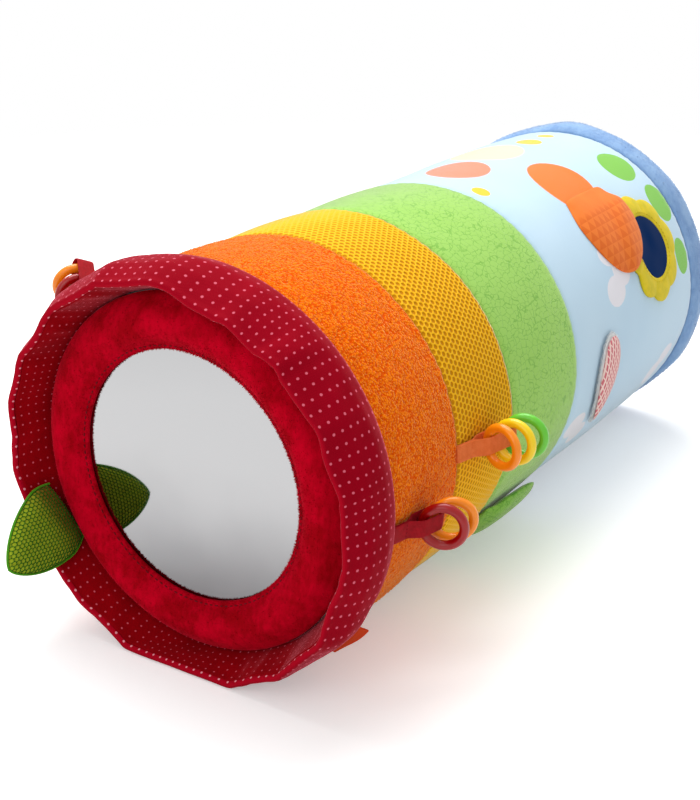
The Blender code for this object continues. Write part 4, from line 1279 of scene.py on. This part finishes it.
def makePlushRing():
    outline = plushOutline()
    angle = around(front["columns"])
    ys, angles = crossed(outline[:, 0], angle)
    radii = np.broadcast_to(outline[:, 1][:, None], ys.shape)
    # the leaf's root presses a shallow hollow into the ring's outer shoulder
    turn = (angles - front["leafHollowAngle"] + math.pi) % math.tau - math.pi
    pressed = np.exp(-(turn / front["leafHollowWidth"]) ** 2) * smoothStep((radii - 88 * mm) / (5 * mm))
    radii = radii - front["leafHollow"] * pressed
    flat = onRoll(ys, angles, radii)
    ahead = smoothStep((plushHigh.y - 8 * mm - ys) / (12 * mm))
    fromStitch = radii - front["stitchRadius"]
    groove = front["stitchGroove"] * np.exp(-(fromStitch / (1.3 * mm)) ** 2)
    ys = ys + (-lumpy(flat, front["lumps"]) * smoothStep(fromStitch / (3 * mm)) + groove) * ahead
    points = settled(onRoll(ys, angles, radii), front["floor"])
    span = spansOf(outline)
    uv = clothOf(roundCloth(angle, front["clothRadius"]), np.append(span, span[-1] + 1 * mm))
    ring = gridPiece("plushRing", points, finish["redPlush"], True, True, uv)
    rest(ring, "roll", "red_plush", ["plush_ring"])
    tree = BVHTree.FromObject(ring, bpy.context.evaluated_depsgraph_get())

    def struck(angle, radius):
        made, facing = [], []
        for a, r in zip(angle, radius):
            start = Vector(onRoll(plushLow.y - 20 * mm, a, r))
            hit, normal, _, _ = tree.ray_cast(start, Vector((0, 1, 0)))
            made.append(hit if hit else start + Vector((0, 30 * mm, 0)))
            facing.append(normal if hit else Vector((0, -1, 0)))
        return np.array(made), np.array(facing)

    random = np.random.default_rng(13)
    angle = random.uniform(down, down + math.tau, front["pile"])
    low, high = front["mirrorRadius"] - front["lip"] + 0.2 * mm, front["ringRadius"] - 0.3 * mm
    towardsEdge = random.uniform(0, 1, front["pile"]) ** 3
    radius = low + (high - low) * towardsEdge
    points, normals = struck(angle, radius)
    brushed = np.stack([np.cos(angle + 1.2), -0.3 * np.ones_like(angle), np.sin(angle + 1.2)], -1)
    pile = repeated("redPile", strand, points - normals * 0.2 * mm, finish["redPlush"],
                    front["pileSize"], turnsFor(normals, brushed), 0.35, 0.45, 13)
    rest(newPiece("redPile", pile), "roll", "red_plush")
    angle = around(240)
    points, normals = struck(angle, np.full(240, front["stitchRadius"]))
    thread = stitchLine("mirrorStitches", points + normals * 0.15 * mm, normals,
                        finish["redThread"], *front["stitchSize"])
    rest(newPiece("mirrorStitches", thread), "roll", "red_plush")


def makeMirror():
    angle = around(160)
    radius = front["mirrorRadius"]
    out = np.concatenate([np.linspace(0, 1, 24), [1.0], np.linspace(1, 0, 6)]) * radius
    y = np.repeat([mirrorLow.y, mirrorHigh.y], [24, 7])
    outs, angles = crossed(out, angle)
    ys = np.broadcast_to(y[:, None], outs.shape)
    flat = onRoll(ys, angles, outs)
    inside = (1 - (outs / radius) ** 2) * (ys < mirrorLow.y + 0.1 * mm)
    ys = ys + lumpy(flat, front["mirrorWaves"]) * inside
    glass = gridPiece("frontMirror", onRoll(ys, angles, outs), finish["mirror"], False, True,
                      edgeAngle=math.radians(40))
    rest(glass, "roll", "mirror_film", ["front_mirror"])


makePlushRing()
makeMirror()
print("plush ring and mirror made")


# padded flaps share one form: rows along and columns across, rounded shut at the tip
inflation = {
    "scale": 12.0,
    "frames": 20,
    "quality": 5,
    "mass": 0.4,
    "stiffness": 12,
    "bending": 0.4,
    "padPressure": 4.0,
    "wingPressure": 2.0,
}


def crowned(share, power):
    return (1 - np.abs(share) ** power) ** 0.6


def padForm(pad):
    # half of a pad's width and half of its thickness, at each share of its length
    def halfWidth(share):
        narrow, (power, roundness) = pad["rootWidth"] / pad["width"], pad["tip"]
        swell = narrow + (1 - narrow) * np.sin(np.pi / 2 * np.minimum(share / pad["widestShare"], 1))
        return pad["width"] / 2 * swell * (1 - share ** power) ** roundness

    def halfThickness(share):
        rise = pad["rootShare"] + (1 - pad["rootShare"]) * smoothStep(share / pad["fullShare"])
        return pad["thickness"] / 2 * rise * (1 - share ** pad["endPower"]) ** 0.5

    return halfWidth, halfThickness


def padPoints(place, pad, rows, columns):
    halfWidth, halfThickness = padForm(pad)
    share = 1 - (1 - np.arange(rows + 1) / rows) ** 1.35
    acrossShare = -np.cos(np.pi * np.arange(columns + 1) / columns)
    shares, acrosses = crossed(share, np.concatenate([acrossShare, acrossShare[-2:0:-1]]))
    side = np.repeat([1.0, -1.0], [columns + 1, columns - 1])
    height = halfThickness(shares) * crowned(acrosses, 2.4) * side[None, :]
    along, across = pad["length"] * shares, halfWidth(shares) * acrosses
    return place(along, across, height), closedCloth(across, along)


def inflated(piece, heldRow, pressure, cap):
    # fills the pad by a short cloth simulation, run at a larger size, with its root held
    start = pointsOf(piece.data)
    middle = start.mean(0)
    setPoints(piece.data, (start - middle) * inflation["scale"])
    held = piece.vertex_groups.new(name="held")
    held.add([int(each) for each in heldRow], 1.0, "REPLACE")
    cloth = piece.modifiers.new("cloth", "CLOTH")
    settings = cloth.settings
    settings.vertex_group_mass = "held"
    settings.use_pressure = True
    settings.uniform_pressure_force = pressure
    settings.effector_weights.gravity = 0
    settings.quality = inflation["quality"]
    settings.mass = inflation["mass"]
    settings.tension_stiffness = settings.compression_stiffness = inflation["stiffness"]
    settings.bending_stiffness = inflation["bending"]
    cloth.point_cache.frame_start, cloth.point_cache.frame_end = 1, inflation["frames"]
    scene = bpy.context.scene
    for number in range(1, inflation["frames"] + 1):
        scene.frame_set(number)
    graph = bpy.context.evaluated_depsgraph_get()
    moved = pointsOf(piece.evaluated_get(graph).data) / inflation["scale"] + middle - start
    far = np.linalg.norm(moved, axis=1, keepdims=True)
    moved = moved * np.minimum(1, cap / np.maximum(far, 1e-9))
    piece.modifiers.remove(cloth)
    piece.vertex_groups.clear()
    setPoints(piece.data, start + moved)
    scene.frame_set(1)


def subdivided(piece):
    smooth = piece.modifiers.new("smooth", "SUBSURF")
    smooth.levels = smooth.render_levels = 1
    mesh = evaluated(piece)
    piece.modifiers.clear()
    piece.data = mesh
    mesh.shade_smooth()


def makePad(name, place, pad, material, rows=26, columns=16, cap=0.8 * mm):
    points, uv = padPoints(place, pad, rows, columns)
    piece = gridPiece(name, points, material, False, True, uv)
    reshaped(piece.data, lambda shape: bmesh.ops.contextual_create(shape, geom=openEdges(shape)))
    away = np.linalg.norm(pointsOf(piece.data)[:, None] - points[0][None], axis=2)
    inflated(piece, np.nonzero(away.min(1) < 0.01 * mm)[0], inflation["padPressure"], cap)
    subdivided(piece)
    return piece


def direction(angle):
    return np.array([math.cos(angle), 0, math.sin(angle)])


def sideways(angle):
    return np.array([-math.sin(angle), 0, math.cos(angle)])


leaf = {
    "angle": math.radians(-155),
    "length": 54 * mm,
    "width": 43 * mm,
    "rootWidth": 34.4 * mm,
    "widestShare": 0.3,
    "tip": (2.3, 0.72),
    "thickness": 9 * mm,
    "rootShare": 0.3,
    "fullShare": 0.35,
    "endPower": 3,
    "fill": 0.7,
    "droop": math.radians(15),
    "leanIn": math.radians(3),
    "rootDepth": 18.5 * mm,
    "rootRadius": 96.4 * mm,
    "cellSize": (2.1 * mm, 2.7 * mm, 0.5 * mm),
    "cellHole": 0.76,
    "netRows": 24,
    "netColumns": 11,
    "netMargin": 0.6 * mm,
    "netLift": 0.15 * mm,
    "braid": 0.7 * mm,
    "plaitRise": 0.55 * mm,
    "plaitSize": (1.9 * mm, 0.8 * mm, 1.3 * mm),
}


def makeLeaf():
    root = onRoll(cuffSeam - leaf["rootDepth"], leaf["angle"], leaf["rootRadius"])
    normal, side = direction(leaf["angle"]), sideways(leaf["angle"])
    forward = np.array([0, -math.cos(leaf["leanIn"]), 0]) - normal * math.sin(leaf["leanIn"])
    tilted = np.cross(forward, side)
    alongWay = forward * math.cos(leaf["droop"]) + side * math.sin(leaf["droop"])
    acrossWay = np.cross(alongWay, tilted)

    def place(along, across, height):
        return (root + alongWay * np.asarray(along)[..., None] + acrossWay
                * np.asarray(across)[..., None] + tilted * np.asarray(height)[..., None])

    halfWidth = padForm(leaf)[0]
    pad = makePad("frontLeaf", place, leaf, finish["leaf"], cap=0.5 * mm)
    rest(pad, "leaf", "green_leaf_cloth", ["front_leaf"])
    tree = BVHTree.FromObject(pad, bpy.context.evaluated_depsgraph_get())
    cell = netElement("leaf net cell", leaf["cellHole"], False)
    rows, columns = crossed(np.arange(leaf["netRows"]),
                            np.arange(-leaf["netColumns"], leaf["netColumns"] + 1))
    v = (rows + 0.5) * leaf["cellSize"][1] * 0.87
    u = (columns + (rows % 2) / 2) * leaf["cellSize"][0]
    share = v / leaf["length"]
    inside = (share < 0.99) & (np.abs(u) < halfWidth(np.minimum(share, 1)) - leaf["netMargin"])
    flat = np.stack([u, v, np.zeros_like(u)], -1)[inside]
    joined = bmesh.new()
    for upward in (1, -1):
        mesh = repeated("net side", cell, flat, finish["net"], leaf["cellSize"])
        far = upward * leaf["thickness"]

        def onLeaf(across, along, height):
            made = []
            for point, lift in zip(place(along, across, 0 * along + far), height):
                hit, facing, _, _ = tree.ray_cast(Vector(point), Vector(tilted * -upward))
                if hit is None:
                    hit, facing, _, _ = tree.find_nearest(Vector(point) - Vector(tilted) * far)
                made.append(hit + facing * (leaf["netLift"] + lift))
            return np.array(made)

        wrapped(mesh, onLeaf)
        joined.from_mesh(mesh)
    bpy.data.objects.remove(cell)
    bmesh.ops.recalc_face_normals(joined, faces=joined.faces)
    netMesh = bpy.data.meshes.new("frontLeafNet")
    joined.to_mesh(netMesh)
    joined.free()
    net = newPiece("frontLeafNet", netMesh, finish["net"])
    rest(net, "leaf", "green_net", ["front_leaf_net"])

    share, side = outAndBack(60)
    edge = place(share * leaf["length"], side * halfWidth(share) * 1.01, np.zeros_like(share))
    rest(tubePiece("leafBraid", edge, leaf["braid"], finish["braid"]), "leaf", "green_net")
    outward = np.broadcast_to(tilted, edge.shape)
    plait = stitchLine("leafPlait", edge + outward * leaf["plaitRise"], outward, finish["braid"],
                       *leaf["plaitSize"], closed=False)
    rest(newPiece("leafPlait", plait), "leaf", "green_net")


def tubePiece(name, path, radius, material, sides=8):
    # a round thread or piping along a path, closed at both ends
    path = np.asarray(path)
    ahead = unit(np.gradient(path, axis=0))
    first = np.cross(ahead[0], (0.31, 0.57, 0.76))
    frames = []
    for step in ahead:
        first = first - step * np.dot(first, step)
        first = first / np.linalg.norm(first)
        frames.append((first, np.cross(step, first)))
    turn = math.tau * np.arange(sides) / sides
    points = np.stack([point + radius * (np.cos(turn)[:, None] * a + np.sin(turn)[:, None] * b)
                       for point, (a, b) in zip(path, frames)])
    return gridPiece(name, points, material, False, True, fillEnds=True)


makeLeaf()
print("leaf made")


greenFlap = {
    "angle": math.radians(-42),
    "length": 74 * mm,
    "width": 42 * mm,
    "rootWidth": 34 * mm,
    "widestShare": 0.4,
    "tip": (3, 0.6),
    "thickness": 7 * mm,
    "rootShare": 0.25,
    "fullShare": 0.3,
    "endPower": 4,
    "fill": 0.7,
    "lift": math.radians(1),
    "rootRise": 0.4 * mm,
    "crown": 1.2 * mm,
    "crownLength": 84 * mm,
}


def makeGreenFlap():
    half = greenFlap["thickness"] / 2
    axisRadius = roll["radius"] + greenFlap["rootRise"] + roll["gap"] + half * greenFlap["rootShare"]

    def place(along, across, height):
        y = yellowSeam + roll["gap"] + along
        ease = smoothStep(along / (greenFlap["thickness"] * 2))
        over = np.clip((y - yellowSeam) / greenFlap["crownLength"], 0, 1)
        skin = roll["radius"] + greenFlap["crown"] * np.sin(np.pi * over)
        base = axisRadius + (skin + roll["gap"] + half - axisRadius) * ease
        radius = base + along * math.tan(greenFlap["lift"]) + height
        return onRoll(y, greenFlap["angle"] + across / roll["radius"], radius)

    pad = makePad("greenLeafFlap", place, greenFlap, finish["flapGreen"])
    rest(pad, "green_flap", "green_cloth", ["green_leaf_flap"])


peekFlap = {
    "place": 311 * mm,
    "angle": math.radians(56),
    "length": 61 * mm,
    "width": 71 * mm,
    "rootWidth": 50 * mm,
    "widestShare": 0.45,
    "tip": (3.2, 0.6),
    "thickness": 4.4 * mm,
    "rootShare": 0.35,
    "fullShare": 0.3,
    "endPower": 4,
    "fill": 0.5,
    "climb": 14 * mm,
    "climbMargin": 10 * mm,
}
petal = {
    "place": 350 * mm,
    "angle": math.radians(27.5),
    "mirrorRadius": 21 * mm,
    "mirrorThickness": 1.4 * mm,
    "reach": 37 * mm,
    "scallop": 1.9 * mm,
    "thickness": 2.4 * mm,
    "count": 8,
    "rows": 16,
    "columns": 192,
    "fill": 0.6,
    "stitchMargin": 2.2 * mm,
    "stitchSize": (2.0 * mm, 0.6 * mm, 2.7 * mm),
}


def makePeekFlap():
    middle = cuffSeam + peekFlap["place"]
    overPetals = petal["thickness"] + roll["gap"]

    def place(along, across, height):
        y = middle + across
        angle = peekFlap["angle"] - along / roll["radius"]
        climbed = smoothStep(along / peekFlap["climb"])
        fromPetals = np.hypot(y - cuffSeam - petal["place"], (angle - petal["angle"]) * roll["radius"])
        margin = peekFlap["climbMargin"]
        over = smoothStep((petal["reach"] + margin - fromPetals) / margin)
        radius = skinRadius(y, angle) + roll["gap"] + overPetals * climbed * over + np.abs(height) + height
        return onRoll(y, angle, radius)

    pad = makePad("peekFlap", place, peekFlap, finish["scales"], rows=30, columns=22, cap=0.6 * mm)
    rest(pad, "peek_flap", "orange_flap_cloth", ["peek_flap"])


def onSide(out, turn, height):
    # out and turn run round the side mirror's middle, over the roll's skin
    y = cuffSeam + petal["place"] + out * np.cos(turn)
    angle = petal["angle"] + out * np.sin(turn) / roll["radius"]
    return onRoll(y, angle, skinRadius(y, angle) + height)


def makePetals():
    def turnsOf(count):
        return math.tau * np.arange(count) / count

    turn = turnsOf(petal["columns"])
    wave = np.abs(np.cos(petal["count"] * turn / 2))
    reach = petal["reach"] - petal["scallop"] * (1 - wave) * 2
    hole = petal["mirrorRadius"] + roll["gap"]
    shares = np.linspace(0, 1, petal["rows"])
    thick = petal["thickness"]
    rowsHigh = []
    for share in shares:
        puff = math.sin(math.pi * min(max(share, 0.02), 0.98)) ** 0.45
        quilt = 1 - 0.45 * (1 - wave) ** 2 * math.sin(math.pi * share)
        rowsHigh.append(roll["gap"] + thick * (0.45 + 0.6 * puff * quilt))
    under = shares[::-5]
    rowsHigh += [np.full_like(turn, roll["gap"])] * len(under)
    out = hole + (reach - hole)[None, :] * np.concatenate([shares, under])[:, None]
    points = onSide(out, turn[None, :], np.array(rowsHigh))
    uv = [np.append(side, side[:1], 0) for side in closedCloth(out * np.cos(turn), out * np.sin(turn))]
    ring = gridPiece("petalSurround", points, finish["petal"], True, True, uv)
    rest(ring, "roll", "yellow_petal_cloth", ["petal_surround"])
    turn = turnsOf(120)
    path = onSide(hole + petal["stitchMargin"] + 0 * turn, turn, roll["gap"] + thick + 0 * turn)
    thread = stitchLine("petalStitches", path, rollNormal(petal["angle"] + 0 * turn, turn),
                        finish["petal"], *petal["stitchSize"])
    rest(newPiece("petalStitches", thread), "roll", "yellow_petal_cloth")
    out = np.concatenate([np.linspace(0, 1, 12), np.linspace(1, 0, 5)]) * petal["mirrorRadius"]
    high = np.repeat([roll["gap"] + petal["mirrorThickness"], roll["gap"]], [12, 5])
    outs, turns = crossed(out, turnsOf(96))
    glass = gridPiece("sideMirror", onSide(outs, turns, high[:, None]), finish["sideMirror"], False,
                      True, edgeAngle=math.radians(40))
    rest(glass, "roll", "mirror_film", ["side_mirror"])


wing = {
    "place": 279 * mm,
    "angle": math.radians(-8),
    "height": 60 * mm,
    "width": 33 * mm,
    "tilt": math.radians(10),
    "lift": math.radians(2),
    "edge": 2.0 * mm,
    "fullness": 1.12,
    "peakShare": 1 / 12,
    "crownPower": 2.6,
    "fills": (0.5, 0.6),
    "offSkin": 1.0 * mm,
    "backThickness": 1.8 * mm,
    "frontThickness": 2.6 * mm,
    "frontSink": 0.8,
    "border": 1.3 * mm,
    "rows": 12,
    "columns": 64,
    "pile": 1600,
    "pileFrom": 0.88,
    "pileSize": (0.2 * mm, 0.2 * mm, 1.2 * mm),
}


def wingSurface(share, turn, grow, base, height):
    # a point at a share of the way from the wing's middle to its rim, and that turn round it
    halfHeight = wing["height"] / 2 - wing["edge"] + grow
    halfWidth = wing["width"] / 2 - wing["edge"] + grow
    up = -halfHeight * np.cos(turn)
    out = halfWidth * wing["fullness"] * np.sin(turn / 2) ** 0.8 * np.sin(turn)
    out = out * math.cos(wing["tilt"]) - up * math.sin(wing["tilt"]) / 2
    across = wing["width"] / 2 + out * share
    middle = wing["height"] * wing["peakShare"]
    rise = middle + (up - middle) * share
    y, angle = cuffSeam + wing["place"] - across, wing["angle"] + rise / roll["radius"]
    radius = (skinRadius(y, angle) + wing["offSkin"] + base + np.abs(height) + height
              + across * math.tan(wing["lift"]))
    return onRoll(y, angle, radius), across, rise


def wingHeight(share, side, thickness):
    return side * crowned(share, wing["crownPower"]) * thickness / 2


def wingPad(name, material, grow, thickness, base):
    share, side = outAndBack(wing["rows"])
    shares, turns = crossed(share, math.tau * (np.arange(wing["columns"]) + 0.5) / wing["columns"])
    height = wingHeight(shares, side[:, None], thickness)
    points, across, rise = wingSurface(shares, turns, grow, base, height)
    piece = gridPiece(name, points, material, False, True, closedCloth(across, rise))
    inflated(piece, [], inflation["wingPressure"], 0.35 * mm)
    subdivided(piece)
    return piece


def makeWing():
    edge, back = wing["edge"], wing["backThickness"]
    rest(wingPad("wingBacking", finish["whiteTerry"], edge, back, 0.0), "wing", "white_terry",
         ["wing_backing"])
    check = wingPad("wingFront", finish["checks"], edge - wing["border"], wing["frontThickness"],
                    back * wing["frontSink"])
    rest(check, "wing", "pink_check_cloth", ["wing_front"])
    random = np.random.default_rng(17)
    share = random.uniform(wing["pileFrom"], 1.0, wing["pile"])
    at = random.uniform(0, math.tau, wing["pile"])
    side = random.choice((1, -1, 1), wing["pile"])
    points = wingSurface(share, at, edge, 0.0, wingHeight(share, side, back))[0]
    middle = wingSurface(np.zeros(1), np.zeros(1), edge, 0.0, np.zeros(1))[0][0]
    outward = unit(points - middle) + direction(wing["angle"]) * side[:, None] * 0.8
    pile = repeated("wingPile", strand, points, finish["whiteTerry"], wing["pileSize"],
                    turnsFor(outward, anyWay(at, at, random)), 0.35, 0.5, 17)
    rest(newPiece("wingPile", pile), "wing", "white_terry")


makeGreenFlap()
makePetals()
makePeekFlap()
makeWing()
print("flaps, petals and wing made")


# ribbons, each a strip that goes out, round the rings and back, and the rings themselves
ribbon = {
    "width": 9.8 * mm,
    "thickness": 0.9 * mm,
    "clearance": 0.5 * mm,
    "slope": 9 * mm,
    "sunk": ((-1.2 * mm, 1.0 * mm), (-0.7 * mm, 0.5 * mm), (-0.3 * mm, 0.15 * mm)),
    "sides": 20,
    "edgePowers": (0.35, 0.8),
    "hem": 0.8 * mm,
    "stitchSize": (1.3 * mm, 0.4 * mm, 1.7 * mm),
    "ringRadius": 10.5 * mm,
    "ringTube": 2.5 * mm,
    "rimClearance": 0.6 * mm,
    "rimPitch": 7.2 * mm,
}
straps = [
    {"node": "red_strap", "piece": "redStrap", "seam": cuffSeam + 6.9 * mm, "rise": 0.8 * mm,
     "angle": math.radians(-7), "length": 35 * mm, "lean": math.radians(11), "twist": 0.0, "rings": 2,
     "slot": "red_ribbon", "finish": "redRibbon", "thread": "redThread"},
    {"node": "orange_strap", "piece": "orangeStrap", "seam": orangeSeam, "rise": 0.0,
     "angle": math.radians(3.2), "length": 42 * mm, "lean": math.radians(14), "twist": 0.0,
     "rings": 3, "slot": "orange_ribbon", "finish": "orangeRibbon", "thread": "orangeRibbon"},
    {"node": "far_red_strap", "piece": "farRedStrap", "seam": cuffSeam + 6.9 * mm, "rise": 0.8 * mm,
     "angle": math.radians(142), "length": 38 * mm, "lean": math.radians(54),
     "twist": math.radians(-90), "rings": 2, "slot": "red_ribbon", "finish": "redRibbon",
     "thread": "redThread"},
]


def makeStrap(strap):
    thickness, tube = ribbon["thickness"], ribbon["ringTube"]
    root = onRoll(strap["seam"], strap["angle"],
                  roll["radius"] + strap["rise"] + thickness + ribbon["clearance"])
    out, side = direction(strap["angle"]), sideways(strap["angle"])
    alongWay = out * math.sin(strap["lean"]) + np.array([0, math.cos(strap["lean"]), 0])
    upWay = out * math.cos(strap["lean"]) - np.array([0, math.sin(strap["lean"]), 0])
    sagitta = ribbon["ringRadius"] - math.sqrt(ribbon["ringRadius"] ** 2 - (ribbon["width"] / 2) ** 2)
    above, below = tube + sagitta + ribbon["rimClearance"], tube + ribbon["rimClearance"]
    bend = (above + below) / 2
    straight = strap["length"] - bend - thickness
    firstRim = straight - sagitta - (strap["rings"] - 1) * ribbon["rimPitch"]
    fork = firstRim - tube - ribbon["rimClearance"] - ribbon["slope"]
    half = thickness / 2

    def layer(level):
        # one layer's middle, from the seam over the slope at the fork to the bend
        flat = [(at, 0) for at in np.linspace(0.2 * mm, fork, 8)]
        slope = [(fork + ribbon["slope"] * t, level * float(smoothStep(t)))
                 for t in np.linspace(0, 1, 11)[1:]]
        end = [(at, level) for at in np.linspace(fork + ribbon["slope"], straight, 8)[1:]]
        return flat + slope + end

    # the root goes down into the seam, on both sides
    path = [(at, half - depth) for at, depth in ribbon["sunk"]]
    path += [(at, high + half) for at, high in layer(above)]
    middle = (above - below) / 2
    for turn in np.linspace(math.pi / 2, -math.pi / 2, 17)[1:]:
        path.append((straight + (bend + half) * math.cos(turn), middle + (bend + half) * math.sin(turn)))
    path += [(at, high - half) for at, high in layer(-below)[-2::-1]]
    path += [(at - 0.5 * depth, -half - depth) for at, depth in ribbon["sunk"][::-1]]
    path = np.array(path)
    ahead = unit(np.gradient(path, axis=0))
    offWay = np.stack([-ahead[:, 1], ahead[:, 0]], -1)
    flatness, roundness = ribbon["edgePowers"]
    section = []
    for turn in np.linspace(0, math.tau, ribbon["sides"], endpoint=False):
        across, high = math.cos(turn), math.sin(turn)
        section.append((math.copysign(abs(across) ** flatness, across) * ribbon["width"] / 2,
                        math.copysign(abs(high) ** roundness, high) * half * 0.98))

    def waysAt(along):
        # the ribbon's width and its upper side, which turn where it is twisted
        turn = strap["twist"] * float(smoothStep(along / (strap["length"] / 2)))
        return (side * math.cos(turn) + upWay * math.sin(turn),
                upWay * math.cos(turn) - side * math.sin(turn))

    section = np.array(section)
    points = np.zeros((len(path), len(section), 3))
    for row, (spot, off) in enumerate(zip(path, offWay)):
        for column, (across, high) in enumerate(section):
            along, height = spot + off * high
            widthWay, highWay = waysAt(along)
            points[row, column] = root + alongWay * along + highWay * height + widthWay * across
    uv = clothOf(np.append(section[:, 0], section[0, 0]), spansOf(path))
    piece = gridPiece(strap["piece"], points, finish[strap["finish"]], False, True, uv, fillEnds=True)
    rest(piece, strap["node"], strap["slot"], [strap["node"]])
    # a row of stitches across the ribbon where its two layers part
    across = np.linspace(-1, 1, 9) * (ribbon["width"] / 2 - ribbon["hem"])
    at = max(fork - 0.5 * mm, 1 * mm)
    widthWay, highWay = waysAt(at)
    row = root + alongWay * at + widthWay * across[:, None] + highWay * (thickness + 0.05 * mm)
    thread = stitchLine(strap["piece"] + "Stitches", row, np.broadcast_to(highWay, row.shape),
                        finish[strap["thread"]], *ribbon["stitchSize"], closed=False)
    rest(newPiece(strap["piece"] + "Stitches", thread), strap["node"], strap["slot"])


def makeRing(node, name, slot, material):
    # a round ring of the ribbon's ring size, in the place and plane of its CAD node
    co = np.unique(np.round(pointsOf(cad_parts[node].data), 7), axis=0)
    middle = co.mean(0)
    ways = np.linalg.svd(co - middle)[2]
    turn, roundTube = crossed(around(64), around(20))
    out = ways[0] * np.cos(turn)[..., None] + ways[1] * np.sin(turn)[..., None]
    spoke = ribbon["ringRadius"] + ribbon["ringTube"] * np.cos(roundTube)
    points = middle + out * spoke[..., None] + ways[2] * (
        ribbon["ringTube"] * np.sin(roundTube))[..., None]
    rest(gridPiece(name, points, material, True, True), node, slot, [node])


for strap in straps:
    makeStrap(strap)
for node, name, slot, material in (
        ("red_ring", "redRing", "red_plastic", "redRing"),
        ("red_strap_orange_ring", "redStrapOrangeRing", "orange_plastic", "orangeRing"),
        ("orange_ring", "orangeRing", "orange_plastic", "orangeRing"),
        ("yellow_ring", "yellowRing", "yellow_plastic", "yellowRing"),
        ("green_ring", "greenRing", "green_plastic", "greenRing"),
        ("far_red_ring", "farRedRing", "red_plastic", "redRing"),
        ("far_orange_ring", "farOrangeRing", "orange_plastic", "orangeRing")):
    makeRing(node, name, slot, finish[material])
print("straps and rings made")


tag = {
    "angle": math.radians(-45),
    "width": 26 * mm,
    "length": 13 * mm,
    "thickness": 1.2 * mm,
    "wave": 0.5 * mm,
    "lift": math.radians(50),
}


def makeTag():
    axisRadius = roll["radius"] + tag["thickness"] / 2 + roll["gap"]
    share = np.linspace(0, 1, 9)
    half = tag["thickness"] / 2
    along = np.concatenate([share * tag["length"], [tag["length"] + half * 0.8],
                            share[::-1] * tag["length"]])
    side = np.repeat([1.0, 0.0, -1.0], [9, 1, 9]) * half
    alongs, acrosses = crossed(along, np.linspace(-0.5, 0.5, 21) * tag["width"])
    wave = tag["wave"] * np.sin(acrosses / tag["width"] * 5) * smoothStep(alongs / tag["length"])
    y = cuffSeam + roll["gap"] + alongs * math.cos(tag["lift"])
    radius = axisRadius + alongs * math.sin(tag["lift"]) + side[:, None] + wave
    points = onRoll(y, tag["angle"] + acrosses / roll["radius"], radius)
    piece = gridPiece("seamTag", points, finish["tag"], True)
    reshaped(piece.data, lambda shape: bmesh.ops.holes_fill(shape, edges=openEdges(shape)))
    piece.data.set_sharp_from_angle(angle=math.radians(60))
    rest(piece, "tag", "tag_cloth", ["seam_tag"])


makeTag()


# inner pieces keep their CAD shape, out of sight, and get their own finish
for node, material in (("filling_core", "filling"), ("mirror_support", "foam")):
    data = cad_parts[node].data
    data.materials.clear()
    data.materials.append(finish[material])

for helper in (strand, stitch):
    bpy.data.objects.remove(helper)
bpy.context.scene.view_settings.view_transform = "Standard"
bpy.context.view_layer.update()
print("all pieces made")
